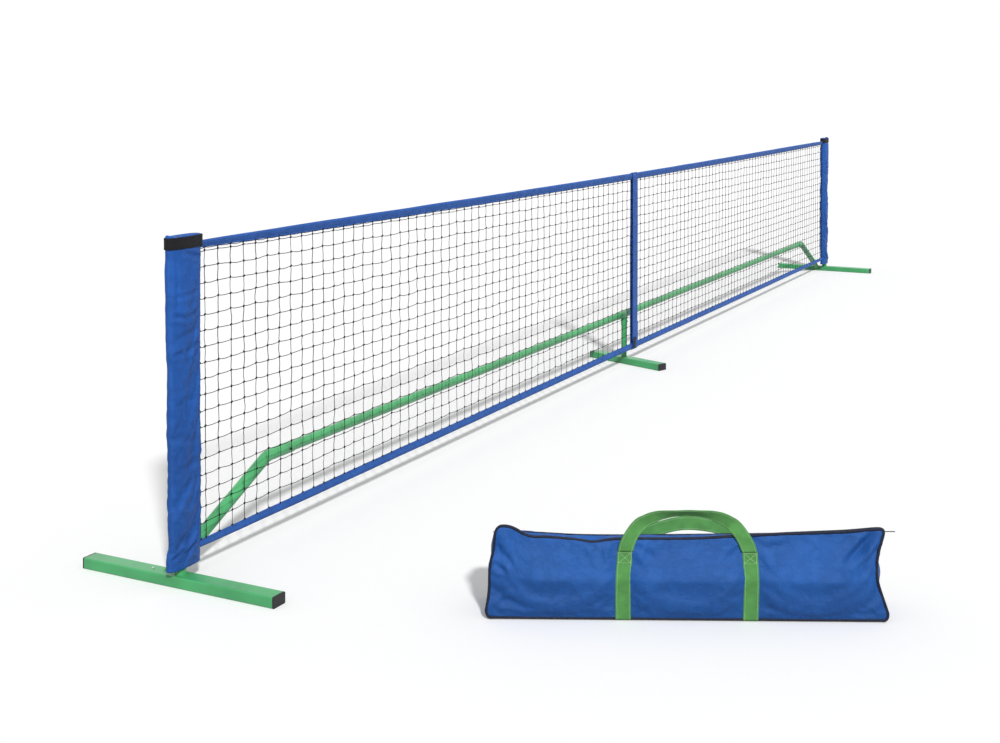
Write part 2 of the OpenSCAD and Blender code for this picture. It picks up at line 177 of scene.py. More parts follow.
class CourtNetStage(bpy.types.PropertyGroup):
    eye: FloatVectorProperty(
        name="Camera", description="Place of the camera", size=3,
        default=(-2.8091, -2.3818, 1.3194), subtype="XYZ", unit="LENGTH",
    )
    turn: number("Turn", "Direction of view, from +X towards +Y", 0.4754, subtype="ANGLE")
    pitch: number("Tilt", "How far the view is tilted down", math.radians(1.5),
                  subtype="ANGLE")
    lens: number("Lens", "Focal length", 50.026, unit="CAMERA")
    shift: number("Shift", "Vertical lens shift", -0.2564)
    sky: number("Sky", "Strength of the even light", 0.48)
    sun: number("Sun", "Strength of the high soft light", 2.8)


def settings(kind):
    return getattr(bpy.context.scene, "court_net_" + kind)


# ---- node trees ----


def maths(operation, swap=False):
    """A method of Value that adds one Math node."""
    def method(self, *others):
        terms = [self, *others]
        if swap:
            terms.reverse()
        return self.tree.add("ShaderNodeMath", {"operation": operation},
                             dict(enumerate(terms)))
    return method


class Value:
    """A socket that takes part in sums as a number does."""

    def __init__(self, tree, socket):
        self.tree, self.socket = tree, socket

    __add__ = __radd__ = maths("ADD")
    __sub__, __rsub__ = maths("SUBTRACT"), maths("SUBTRACT", swap=True)
    __mul__ = __rmul__ = maths("MULTIPLY")
    __truediv__, power = maths("DIVIDE"), maths("POWER")
    least, most, absolute = maths("MINIMUM"), maths("MAXIMUM"), maths("ABSOLUTE")
    sine, exponent = maths("SINE"), maths("EXPONENT")

    def waves(self, pitch):
        """A sine wave that repeats at every pitch."""
        return (self * (TAU / pitch)).sine()


class Tree:
    """Adds nodes to a shader or geometry tree."""

    def __init__(self, tree):
        self.tree = tree

    def add(self, kind, choices=None, inputs=None, out=0):
        """A node of this kind, its choices set first and its sockets next."""
        node = self.tree.nodes.new(kind)
        for name, value in (choices or {}).items():
            setattr(node, name, value)
        for key, value in (inputs or {}).items():
            socket = node.inputs[key]
            if isinstance(value, Value):
                self.tree.links.new(value.socket, socket)
            elif value is not None:
                socket.default_value = value
        row, column = divmod(len(self.tree.nodes), 12)
        node.location = (180 * column, -160 * row)
        return node if out is None else Value(self, node.outputs[out])

    def geo(self, kind, inputs=None, choices=None, out=0):
        """A geometry node, by the end of its kind's name."""
        return self.add("GeometryNode" + kind, choices, inputs, out)

    def of(self, value, out):
        """Another output of the node that a value comes from."""
        return Value(self, value.socket.node.outputs[out])

    def parts(self, vector):
        """The three numbers of a vector."""
        node = self.add("ShaderNodeSeparateXYZ", inputs={0: vector}, out=None)
        return [Value(self, node.outputs[i]) for i in range(3)]

    def vector(self, x, y, z):
        return self.add("ShaderNodeCombineXYZ", inputs={0: x, 1: y, 2: z})

    def blend(self, share, low, high):
        """A colour between two, by a share from 0 to 1."""
        node = self.add("ShaderNodeMix", {"data_type": "RGBA"}, {"Factor": share}, out=None)
        for socket, value in zip((node.inputs[6], node.inputs[7]), (low, high)):
            if isinstance(value, Value):
                self.tree.links.new(value.socket, socket)
            else:
                socket.default_value = (*value, 1)
        return Value(self, node.outputs[2])

    def ramp(self, value, low, high, start=0.0, end=1.0):
        """A number that rises from start to end as value goes from low to high."""
        return self.add("ShaderNodeMapRange", {"interpolation_type": "SMOOTHSTEP"},
                        {0: value, 1: low, 2: high, 3: start, 4: end})

    def noise(self, where, scale, detail=2.0, rough=0.5, out="Fac"):
        return self.add("ShaderNodeTexNoise", {"noise_dimensions": "3D"},
                        {"Vector": where, "Scale": scale, "Detail": detail,
                         "Roughness": rough}, out)

    def bump(self, height, distance, strength=1.0, under=None):
        return self.add("ShaderNodeBump", inputs={
            "Height": height, "Distance": distance, "Strength": strength, "Normal": under})


class Finish(Tree):
    """A material with one principled shader, its even values set on its sockets."""

    def __init__(self, name, **even):
        self.material = bpy.data.materials.new(name)
        self.material.use_nodes = True
        super().__init__(self.material.node_tree)
        self.shader = self.tree.nodes["Principled BSDF"]
        for key, value in even.items():
            self.socket(key).default_value = value

    def socket(self, key):
        return self.shader.inputs[key.replace("_", " ").title().replace("Ior", "IOR")]

    def where(self):
        return self.add("ShaderNodeTexCoord", out="Object")

    def cloth_place(self):
        """The piece's own map in metres, as two numbers and a vector."""
        uv = self.add("ShaderNodeTexCoord", out="UV")
        x, y, _ = self.parts(uv)
        return x, y, uv

    def set(self, **values):
        for key, value in values.items():
            self.tree.links.new(value.socket, self.socket(key))
        return self.material


def tones(base, dark=0.72, light=1.22):
    """A darker and a lighter tone of a colour."""
    return tuple(c * dark for c in base), tuple(min(1, c * light) for c in base)


def paint_finish(name, base, rough=0.36, peel=0.00012):
    """Powder coat: fine orange peel, uneven gloss, dust in broad patches, small scuffs."""
    m = Finish(name, specular_ior_level=0.45, coat_roughness=0.28)
    where = m.where()
    dark, light = tones(base, 0.82, 1.14)
    broad = m.noise(where, 7, 3)
    grain = m.noise(where, 620, 2)
    scuff = m.ramp(m.noise(where, 46, 5, 0.7), 0.66, 0.74)
    tone = m.blend(m.ramp(broad, 0.3, 0.7), dark, light)
    tone = m.blend(scuff * 0.35, tone, tuple(0.6 * c + 0.12 for c in base))
    gloss = rough + (broad - 0.5) * 0.16 + scuff * 0.2
    peeled = m.bump(grain, peel, 0.8)
    return m.set(base_color=tone, roughness=gloss, normal=peeled,
                 coat_weight=0.22 - scuff * 0.2)


def plastic_finish(name, base):
    """Moulded plastic with a fine spark-eroded grain."""
    m = Finish(name, specular_ior_level=0.4)
    where = m.where()
    dark, light = tones(base, 0.8, 1.5)
    grain = m.noise(where, 1500, 2)
    broad = m.noise(where, 30, 3)
    return m.set(base_color=m.blend(broad, dark, light),
                 roughness=0.42 + broad * 0.25, normal=m.bump(grain, 0.00008, 0.7))


def steel_finish(name, base, rough=0.28):
    """Turned metal: rings of fine tool marks and a few dull spots."""
    m = Finish(name)
    where = m.where()
    dark, light = tones(base, 0.75, 1.12)
    x, y, z = m.parts(where)
    marks = m.noise(m.vector(x * 60, y * 60, z * 2600), 1, 2)
    spots = m.noise(where, 260, 3)
    return m.set(base_color=m.blend(spots, dark, light), metallic=1 - spots * 0.12,
                 roughness=rough + marks * 0.18, normal=m.bump(marks, 0.00003, 0.6))


def cloth_finish(name, base, pitch=0.0008, depth=0.00016, rough=0.5, crease=0.0012, painted_shade=None):
    """Coated plain-weave cloth: threads, crisp crumple with painted shade in its creases, rubbed
    patches and a faint sheen.

    The last argument paints shade that darkens the cloth towards the floor: the height where the
    painted shade is darkest, the height where it ends, and its share.
    """
    m = Finish(name, sheen_weight=0.02, sheen_roughness=0.4, specular_ior_level=0.25)
    x, y, _ = m.cloth_place()
    dark, light = tones(base, 0.86, 1.12)
    weave = x.waves(pitch) * y.waves(pitch)
    broad = m.noise(m.vector(x, y, 0.3), 9, 3)
    bent = m.vector(x + (broad - 0.5) * 0.05, y * 1.15, 0.7)
    ridge = (m.noise(bent, 19, 4, 0.55) - 0.5).absolute()
    crumple = m.ramp(ridge, 0.0, 0.13)
    small = m.noise(m.vector(x, y, 0.9), 75, 4, 0.6)
    rubbed = m.ramp(m.noise(m.vector(x, y, 1.9), 70, 4, 0.7), 0.60, 0.8)
    # painted shade: the crumple's creases come out darker in the cloth's tone
    tone = m.blend(m.ramp(broad * 0.55 + crumple * 0.16 + small * 0.2 + weave * 0.1, 0.22, 0.72),
                   dark, light)
    tone = m.blend(rubbed * 0.12, tone, tuple(min(1, 1.5 * c + 0.03) for c in base))
    # painted shade: the cloth grows darker towards the floor, its edge wavered by noise
    if painted_shade:
        height = m.parts(m.where())[2] + (broad - 0.5) * 0.05
        tone = m.blend(m.ramp(height, *painted_shade, 0), tone, tuple(0.3 * c for c in base))
    creased = m.bump(crumple * 0.7 + small * 0.5, crease * 1.8, 0.8)
    woven = m.bump(weave, depth, 0.6, creased)
    return m.set(base_color=tone, roughness=rough + broad * 0.14 - crumple * 0.06 + rubbed * 0.1,
                 normal=woven)


def webbing_finish(name, base, rib=0.0016, depth=0.00035, rough=0.66):
    """Woven strap: ribs along it, slanting floats across it, paler worn ridges."""
    m = Finish(name, sheen_weight=0.05, sheen_roughness=0.4, specular_ior_level=0.2)
    x, y, uv = m.cloth_place()
    dark, light = tones(base, 0.62, 1.25)
    ribs = x.waves(rib)
    floats = (y + x * 0.5).waves(rib * 1.4)
    height = ribs * 0.6 + ribs * floats * 0.4
    broad = m.noise(uv, 24, 3)
    tone = m.blend(m.ramp(height * 0.3 + broad, 0.05, 0.95), dark, light)
    return m.set(base_color=tone, roughness=rough + broad * 0.14,
                 normal=m.bump(height, depth, 0.8))


def cord_finish(name, base):
    """Twisted cord, as strands that slant round it."""
    m = Finish(name, specular_ior_level=0.2)
    where = m.where()
    x, y, z = m.parts(where)
    strands = (x + z + y * 3).waves(0.0016)
    broad = m.noise(where, 40, 2)
    dark, light = tones(base, 0.7, 2.2)
    return m.set(base_color=m.blend(m.ramp(strands * 0.3 + broad, 0.1, 0.9), dark, light),
                 roughness=0.6 + broad * 0.2, normal=m.bump(strands, 0.0002, 0.7))


def thread_finish(name, base):
    """Sewing thread."""
    m = Finish(name, specular_ior_level=0.25)
    x, y, z = m.parts(m.where())
    ply = (x + y + z).waves(0.0008)
    dark, light = tones(base, 0.7, 1.1)
    return m.set(base_color=m.blend(ply * 0.5 + 0.5, dark, light),
                 normal=m.bump(ply, 0.0001, 0.7))


FINISHES = {}


def finish(slot):
    """The finish of one of the record's material slots, or of thread and such."""
    if not FINISHES:
        paint, sleeve, tape, bag, webbing, thread, black = (
            tuple(getattr(settings("colours"), name))
            for name in CourtNetColours.__annotations__)
        FINISHES.update(
            green_paint=paint_finish("Green powder coat", paint),
            black_plastic=plastic_finish("Black plastic", black),
            button_steel=steel_finish("Zinc-plated steel", (0.66, 0.67, 0.66)),
            # the sleeve and bag cloth get painted shade that darkens them towards the floor
            blue_fabric=cloth_finish("Sleeve cloth", sleeve, crease=0.0007,
                                     painted_shade=(0.2, 0.75, 0.24)),
            blue_tape=cloth_finish("Tape cloth", tape, 0.0007, 0.00012, 0.55, 0.0005),
            black_webbing=webbing_finish("Black webbing", black, 0.0018),
            net_cord=cord_finish("Net cord", black),
            bag_fabric=cloth_finish("Bag cloth", bag, 0.0008, 0.00014, 0.46, 0.0006,
                                    painted_shade=(0.07, 0.125, 0.24)),
            bag_piping=cloth_finish("Piping cloth", (0.007, 0.011, 0.030), 0.0006, 0.0001),
            green_webbing=webbing_finish("Green webbing", webbing),
            zip_cloth=webbing_finish("Zip tape", (0.008, 0.009, 0.014), 0.0009, 0.00015),
            zip_metal=steel_finish("Black nickel", (0.03, 0.03, 0.033), 0.5),
            green_thread=thread_finish("Green thread", thread),
            blue_thread=thread_finish("Blue thread", tuple(0.85 * v for v in tape)),
            black_thread=thread_finish("Black thread", tuple(1.4 * v for v in black)),
        )
    return FINISHES[slot]


# ---- meshes ----


def mend(data, join=None):
    """Turns a mesh's faces outwards, once points closer than a distance are joined."""
    shape = bmesh.new()
    shape.from_mesh(data)
    if join:
        bmesh.ops.remove_doubles(shape, verts=shape.verts, dist=join)
    bmesh.ops.recalc_face_normals(shape, faces=shape.faces)
    shape.to_mesh(data)
    shape.free()


def mesh_object(name, points, faces, maps=None, smooth=True, mended=True):
    """A mesh object at the origin, with its outward normals and a map in metres."""
    data = bpy.data.meshes.new(name)
    data.from_pydata([tuple(p) for p in points], [], faces)
    if maps is not None:
        layer = data.uv_layers.new(name="UVMap")
        layer.data.foreach_set("uv", np.asarray(maps, np.float32).ravel())
    if mended:
        mend(data)
    data.polygons.foreach_set("use_smooth", [smooth] * len(data.polygons))
    made = bpy.data.objects.new(name, data)
    bpy.context.scene.collection.objects.link(made)
    return made


def skin(name, rows, wrap=False, caps=False):
    """A surface through rows of points. wrap joins each row's end to its start."""
    rows = np.asarray(rows, float)
    n, m = rows.shape[:2]
    closed = np.concatenate([rows, rows[:, :1]], 1) if wrap else rows
    across = np.linalg.norm(np.diff(closed, axis=1), axis=2).mean(0)
    across = np.concatenate([[0], np.cumsum(across)])
    along = np.linalg.norm(np.diff(rows, axis=0), axis=2).mean(1)
    along = np.concatenate([[0], np.cumsum(along)])
    points, faces, maps = list(rows.reshape(-1, 3)), [], []
    for i in range(n - 1):
        for j in range(len(across) - 1):
            k = (j + 1) % m
            faces.append((i * m + j, i * m + k, (i + 1) * m + k, (i + 1) * m + j))
            maps += [(across[j], along[i]), (across[j + 1], along[i]),
                     (across[j + 1], along[i + 1]), (across[j], along[i + 1])]
    for i in (0, n - 1) if caps else ():
        centre = rows[i].mean(0)
        points.append(centre)
        for j in range(m):
            k = (j + 1) % m
            faces.append((i * m + j, i * m + k, len(points) - 1))
            maps += [(across[j], along[i]), (across[j + 1], along[i]),
                     ((across[j] + across[j + 1]) / 2, along[i] + 0.01)]
    return mesh_object(name, points, faces, maps)


def unit(vectors):
    """Vectors brought to a length of 1."""
    return vectors / np.linalg.norm(vectors, axis=-1, keepdims=True)


def strap_outline(width, thick, steps=6):
    """The outline of a strap with rounded edges, as offsets across and out of it."""
    r = thick / 2
    half = width / 2 - r
    top = [(x, r) for x in np.linspace(-half, half, steps)]
    right = [(half + r * math.sin(a), r * math.cos(a)) for a in np.radians((45, 90, 135))]
    return top + right + [(-x, -y) for x, y in top] + [(-x, -y) for x, y in right]


def strap(name, path, across, out, width, thick, steps=6):
    """A strap along a path, with the directions across it and out of it at each point."""
    outline = strap_outline(width, thick, steps)
    path, across, out = (np.asarray(v, float) for v in (path, across, out))
    rows = [[p + a * w + b * n for a, b in outline] for p, w, n in zip(path, across, out)]
    return skin(name, rows, wrap=True, caps=True)


def tube(name, path, radii, sides, loop=False):
    """A round tube along a path."""
    path = np.asarray(path, float)
    if loop:
        tangents = unit(np.roll(path, -1, 0) - np.roll(path, 1, 0))
    else:
        tangents = unit(np.gradient(path, axis=0))
    side = np.cross(tangents[0], (0.13, 0.21, 0.97))
    side /= np.linalg.norm(side)
    rows = []
    for p, t, r in zip(path, tangents, radii):
        side = side - t * (side @ t)
        side /= np.linalg.norm(side)
        other = np.cross(t, side)
        angles = np.arange(sides) * TAU / sides
        rows.append([p + r * (math.cos(a) * side + math.sin(a) * other) for a in angles])
    if loop:
        rows.append(rows[0])
    made = skin(name, rows, wrap=True, caps=not loop)
    if loop:
        mend(made.data, 1e-6)
    return made


def smooth_path(points, steps):
    """A curve through a few points, as that many evenly spaced ones."""
    points = np.asarray(points, float)
    away = np.concatenate([[0], np.cumsum(np.linalg.norm(np.diff(points, axis=0), axis=1))])
    at = np.linspace(0, away[-1], steps)
    return np.stack([np.interp(at, away, points[:, i]) for i in range(3)], 1)


def settle(made):
    """The object's evaluated shape as its plain mesh, with no modifier left."""
    now = bpy.context.evaluated_depsgraph_get()
    shaped = bpy.data.meshes.new_from_object(
        made.evaluated_get(now), preserve_all_data_layers=True, depsgraph=now)
    made.modifiers.clear()
    old, made.data = made.data, shaped
    bpy.data.meshes.remove(old)
    shaped.name = made.name
    return made


def place(made, body, slot, *nodes):
    """Gives a piece its finish, its body and the nodes that it stands for."""
    made.data.materials.clear()
    made.data.materials.append(finish(slot))
    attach(made, body)
    if nodes:
        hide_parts(*nodes)
    return made


def rough(point, scale, seed=0.0):
    """Smooth noise from -1 to 1 at a point in metres."""
    x, y, z = point
    return noise.noise(Vector((x * scale + seed, y * scale - seed, z * scale + 2 * seed)))


# ---- things that repeat ----


def new_group(name, out, **sockets):
    """A geometry tree with named inputs, listed by kind: the tree and the inputs' values."""
    group = bpy.data.node_groups.new(name, "GeometryNodeTree")
    for kind, names in sockets.items():
        for socket in names.split():
            group.interface.new_socket(socket, in_out="INPUT", socket_type="NodeSocket" + kind)
    group.interface.new_socket(out, in_out="OUTPUT", socket_type="NodeSocketGeometry")
    t = Tree(group)
    given = t.add("NodeGroupInput", out=None)
    return t, {s.name: Value(t, s) for s in given.outputs if s.name}


def end_group(t, shape, material):
    """Ends a geometry tree in a plain mesh with one material."""
    real = t.geo("RealizeInstances", {0: shape})
    done = t.geo("SetMaterial", {"Geometry": real, "Material": material})
    t.add("NodeGroupOutput", inputs={0: done}, out=None)
    return t.tree


def smooth(t, shape):
    return t.geo("SetShadeSmooth", {0: shape, "Shade Smooth": True})


def bead_tree():
    """Small beads in a row along paths: stitches, zip teeth and the like."""
    t, given = new_group("Beads along paths", "Beads", Geometry="Paths", Float="Step Wobble",
                         Vector="Size", Material="Material")
    curves = t.geo("MeshToCurve", {0: given["Paths"]})
    points = t.geo("CurveToPoints", {"Curve": curves, "Length": given["Step"]},
                   {"mode": "LENGTH"})
    bead = smooth(t, t.geo("MeshUVSphere", {"Segments": 6, "Rings": 3, "Radius": 0.5}))
    turn = t.add("FunctionNodeRandomValue", {"data_type": "FLOAT"},
                 {2: -1.0, 3: 1.0, "Seed": 3}, out=1) * given["Wobble"]
    turned = t.add("FunctionNodeRotateRotation", {"rotation_space": "LOCAL"},
                   {0: t.of(points, "Rotation"), 1: t.vector(turn, turn * 0.7, 0.0)})
    beads = t.geo("InstanceOnPoints", {"Points": points, "Instance": bead,
                                       "Rotation": turned, "Scale": given["Size"]})
    return end_group(t, beads, given["Material"])


def net_tree():
    """A knotted mesh between two tapes, as its cords or as its knots."""
    t, given = new_group(
        "Knotted mesh", "Net", Geometry="Shape", Int="Columns Rows Seed",
        Float="Left Right Middle Low High Sag Cord Knot Wander Slack", Bool="Knots",
        Material="Material")
    columns, rows, left, right, middle = (
        given[name] for name in ("Columns", "Rows", "Left", "Right", "Middle"))
    grid = t.geo("MeshGrid", {"Size X": 1.0, "Size Y": 1.0, "Vertices X": columns + 1,
                              "Vertices Y": rows + 1})
    u, v, _ = t.parts(t.geo("InputPosition"))
    cut_column, cut_row, lift = 0.6, 0.8, 0.0042
    u = (((u + 0.5) * columns - cut_column) / (columns - cut_column)).most(0)
    v = ((v + 0.5) * rows / (rows - cut_row)).least(1)
    x = left + u * (right - left)
    down = ((x - left) / (middle - left)).least((right - x) / (right - middle))
    ends = ((left - x) / GATHER).exponent() + ((x - right) / GATHER).exponent()
    high = given["High"] - given["Sag"] * down + ends * lift - (1 - down * down) * DROOP
    low = given["Low"] - ends * lift
    z = low + v * (high - low)
    inside = ((v * (1 - v)) * 40).least(1) * ((u * (1 - u)) * 60).least(1)
    stray = t.add("FunctionNodeRandomValue", {"data_type": "FLOAT_VECTOR"},
                  {0: (-1, -0.3, -1), 1: (1, 0.3, 1), "Seed": given["Seed"]})
    sx, sy, sz = t.parts(stray)
    far = given["Wander"] * inside
    spot = t.vector(x + sx * far, sy * far, z + sz * far)
    grid = t.geo("SetPosition", {"Geometry": grid, "Position": spot})
    # cords
    lines = t.geo("ResampleCurve", {"Curve": t.geo("MeshToCurve", {0: grid}), "Count": 5})
    along = t.geo("SplineParameter", out="Factor")
    bow = along * (1 - along) * 4
    curl = t.noise(t.geo("InputPosition"), 21, 1, out="Color")
    cx, cy, cz = t.parts(curl)
    shift = t.vector((cx - 0.5) * bow * 0.012, (cy - 0.5) * bow * 0.005,
                     (cz - 0.5) * bow * 0.006 - bow * given["Slack"])
    lines = t.geo("SetPosition", {"Geometry": lines, "Offset": shift})
    ring = t.geo("CurvePrimitiveCircle", {"Resolution": 4, "Radius": given["Cord"] / 2})
    cords = smooth(t, t.geo("CurveToMesh", {"Curve": lines, "Profile Curve": ring}))
    # knots
    knot = smooth(t, t.geo("MeshUVSphere", {"Segments": 6, "Rings": 4, "Radius": 1.0}))
    slant = t.add("FunctionNodeRandomValue", {"data_type": "FLOAT_VECTOR"},
                  {0: (-0.5, 0.2, -0.4), 1: (0.5, 1.2, 0.4), "Seed": 9})
    size = t.vector(given["Knot"] * 0.95, given["Knot"] * 0.75, given["Knot"] * 1.35)
    knots = t.geo("InstanceOnPoints", {"Points": grid, "Instance": knot, "Rotation": slant,
                                       "Scale": size})
    both = t.geo("Switch", {"Switch": given["Knots"], "False": cords, "True": knots},
                 {"input_type": "GEOMETRY"})
    return end_group(t, both, given["Material"])


TREES = {}


def grow(made, kind, **values):
    """Runs a geometry tree on an object and leaves its result as a plain mesh."""
    if kind not in TREES:
        TREES[kind] = {"beads": bead_tree, "net": net_tree}[kind]()
    group = TREES[kind]
    step = made.modifiers.new(kind, "NODES")
    step.node_group = group
    for item in group.interface.items_tree:
        if item.in_out == "INPUT" and item.name in values:
            step[item.identifier] = values[item.name]
    return settle(made)


def beads(name, paths, step, size, body, slot, wobble=0.1):
    """Rows of beads along open paths of points, as one piece."""
    points, edges = [], []
    for path in paths:
        start = len(points)
        points += [tuple(p) for p in path]
        edges += [(start + i, start + i + 1) for i in range(len(path) - 1)]
    data = bpy.data.meshes.new(name)
    data.from_pydata(points, edges, [])
    made = bpy.data.objects.new(name, data)
    bpy.context.scene.collection.objects.link(made)
    grow(made, "beads", Step=step, Size=size, Wobble=wobble, Material=finish(slot))
    return place(made, body, slot)


def sew(name, paths, step, thick, long, body, slot, wobble=0.1):
    """Rows of stitches along open paths of points, as one piece."""
    beads(name, paths, step, (thick, thick, long), body, slot, wobble)


# ---- soft pieces ----


def billow(made, held, cap, pressure, excess, weight, frames=20):
    """Settles cloth with a little spare length, so that it swells and wrinkles.

    held is each point's share of holding, from 0 to 1, and cap the furthest a point goes.
    """
    start = np.array([v.co for v in made.data.vertices])
    group = made.vertex_groups.new(name="held")
    shares = np.round(held, 2)
    for share in np.unique(shares[shares > 0]):
        group.add(np.flatnonzero(shares == share).tolist(), share, "REPLACE")
    step = made.modifiers.new("Cloth", "CLOTH")
    for name, value in dict(
            quality=5, mass=0.3, air_damping=2, tension_stiffness=14,
            compression_stiffness=14, shear_stiffness=5, bending_stiffness=0.35,
            use_pressure=True, uniform_pressure_force=pressure, shrink_min=-excess,
            shrink_max=-excess, vertex_group_mass="held").items():
        setattr(step.settings, name, value)
    step.settings.effector_weights.gravity = weight
    step.collision_settings.use_collision = False
    step.point_cache.frame_start, step.point_cache.frame_end = 1, frames
    for now in range(1, frames + 1):
        bpy.context.scene.frame_set(now)
    solved = made.evaluated_get(bpy.context.evaluated_depsgraph_get())
    drift = np.array([v.co for v in solved.to_mesh().vertices]) - start
    solved.to_mesh_clear()
    made.modifiers.clear()
    made.vertex_groups.clear()
    bpy.context.scene.frame_set(1)
    far = np.linalg.norm(drift, axis=1)[:, None]
    drift *= cap * np.tanh(far / cap) / np.maximum(far, 1e-9)
    reshape(made, start + drift)


def reshape(made, points):
    made.data.vertices.foreach_set("co", np.asarray(points, np.float32).ravel())
    made.data.update()


def points_of(made):
    points = np.zeros(len(made.data.vertices) * 3, np.float32)
    made.data.vertices.foreach_get("co", points)
    return points.reshape(-1, 3).astype(float)


def normals_of(made):
    made.data.update()
    return np.array([n.vector for n in made.data.vertex_normals])


def finer(made):
    """Subdivides a piece once and leaves a plain mesh."""
    step = made.modifiers.new("Finer", "SUBSURF")
    step.levels = step.render_levels = 1
    step.boundary_smooth = "PRESERVE_CORNERS"
    return settle(made)


def ease(value, low, high):
    """0 below low, 1 above high, smooth between."""
    t = np.clip((np.asarray(value, float) - low) / (high - low), 0, 1)
    return t * t * (3 - 2 * t)


def crease(points, normals, a, b, depth, width, ridge=0.5):
    """Presses a fold into a surface from a to b, with a low ridge beside it."""
    a, b = np.asarray(a, float), np.asarray(b, float)
    way = b - a
    along = np.clip((points - a) @ way / (way @ way), 0, 1)
    away = np.linalg.norm(points - a - along[:, None] * way, axis=1)
    fade = np.sin(math.pi * np.clip(along * 0.9 + 0.08, 0, 1)) ** 0.6
    shape = -np.exp(-((away / width) ** 2)) + ridge * np.exp(-(((away - 2 * width) / width) ** 2))
    return points + normals * (depth * fade * shape)[:, None]


# ---- the stand ----


KEPT_SLOTS = ("green_paint", "black_plastic", "button_steel", "zip_metal")


def post_span():
    """The distance between the two posts."""
    left, right = (sum(span(f"post_{s}_lower")) / 2 for s in ("left", "right"))
    return right[0] - left[0]


def on_side(side, points):
    """Points laid out for the left end, mirrored for the right one."""
    points = np.array(points, float)
    if side == "right":
        points[:, 0] = post_span() - points[:, 0]
    return points


def brace_line(slope, bend):
    """The centre line of the left brace, its radius and the slope's direction."""
    low, high = span("brace_left")
    r, y = (high[1] - low[1]) / 2, (high[1] + low[1]) / 2
    level = high[2] - r
    foot = np.array([low[0] + r * math.sin(slope), y, low[2] + r * math.cos(slope)])
    up = np.array([math.cos(slope), 0, math.sin(slope)])
    elbow = foot + up * (level - foot[2]) / math.sin(slope)
    start = elbow - up * bend * math.tan(slope / 2)
    centre = start + bend * np.array([math.sin(slope), 0, -math.cos(slope)])
    arc = [centre + bend * np.array([-math.sin(a), 0, math.cos(a)])
           for a in np.linspace(slope, 0, 12)]
    end = np.array([high[0], y, level])
    rim = 0.0008
    line = [foot, foot + up * rim, foot + up * 3 * rim, *arc,
            end - (3 * rim, 0, 0), end - (rim, 0, 0), end]
    return np.array(line), r, up


class COURTNET_OT_stand(bpy.types.Operator):
    """Bends the braces, lays the weld beads and paints the tubes"""

    bl_idname = "court_net.stand"
    bl_label = "Stand"

    def execute(self, context):
        s = settings("stand")
        line, r, up = brace_line(s.slope, s.bend)
        radii = np.full(len(line), r)
        radii[[0, 1, -2, -1]] = (r * 0.9, r * 0.98, r * 0.98, r * 0.9)
        foot_edge = span("foot_left_cap_front")[1]
        for side in ("left", "right"):
            brace = tube(f"bent_brace_{side}", on_side(side, line), radii, 40)
            place(brace, "stand", "green_paint", f"brace_{side}")
            bead = on_side(side, self.foot_weld(line[0], up, r * 0.885, foot_edge))
            place(self.bead(f"foot_weld_{side}", bead), "stand", "green_paint")
        low, high = span("tee")
        centre = (low + high) / 2
        wide = (high[1] - low[1]) / 2
        socket, level = wide * 0.863, high[2] - wide
        ring = [(centre[0] + socket * math.cos(a), centre[1] + socket * math.sin(a),
                 level - math.sqrt(wide**2 - (socket * math.sin(a)) ** 2))
                for a in np.arange(48) * TAU / 48]
        place(self.bead("tee_weld", ring), "stand", "green_paint")
        for name, node in frame["nodes"].items():
            for part in node.material_slots:
                if SLOTS[name] in KEPT_SLOTS:
                    part.material = finish(SLOTS[name])
        return {"FINISHED"}

    def foot_weld(self, foot, up, r, corner):
        """The line on which the brace's socket arm leaves the foot tube."""
        side, across = np.array([0, 1.0, 0]), np.cross(up, (0, 1.0, 0))
        ring = []
        for a in np.arange(56) * TAU / 56:
            rim = foot + r * (math.cos(a) * side + math.sin(a) * across)
            reach = min((corner[0] - rim[0]) / up[0], (corner[2] - rim[2]) / up[2])
            ring.append(rim + up * reach)
        return ring

    def bead(self, name, ring):
        lumps = [0.0021 + 0.0005 * math.sin(i * 1.9) + 0.0003 * rough(p, 300)
                 for i, p in enumerate(ring)]
        return tube(name, ring, lumps, 8, loop=True)


# ---- the net ----


def dip(x, low, high, middle):
    """How far the net hangs down at x, as a share of its sag."""
    return np.minimum((x - low) / (middle - low), (high - x) / (high - middle))


def net_middle():
    low, high = span("centre_strap")
    return (low[0] + high[0]) / 2


class COURTNET_OT_mesh(bpy.types.Operator):
    """Knots the mesh between the two tapes"""

    bl_idname = "court_net.mesh"
    bl_label = "Net mesh"

    def execute(self, context):
        s = settings("mesh")
        low, high = span("net_mesh")
        top = span("top_tape")
        sag = high[2] - top[0][2]
        for name, knots in (("net_cords", False), ("net_knots", True)):
            made = mesh_object(name, [(0, 0, 0)], [])
            grow(made, "net", Columns=round((high[0] - low[0]) / s.pitch),
                 Rows=math.ceil((high[2] - low[2]) / s.rise), Seed=s.seed, Left=low[0],
                 Right=high[0], Middle=net_middle(), Low=low[2], High=high[2], Sag=sag,
                 Cord=s.cord, Knot=s.knot, Wander=s.wander, Slack=s.slack, Knots=knots,
                 Material=finish("net_cord"))
            place(made, "stand", "net_cord", *(() if knots else ("net_mesh",)))
        return {"FINISHED"}


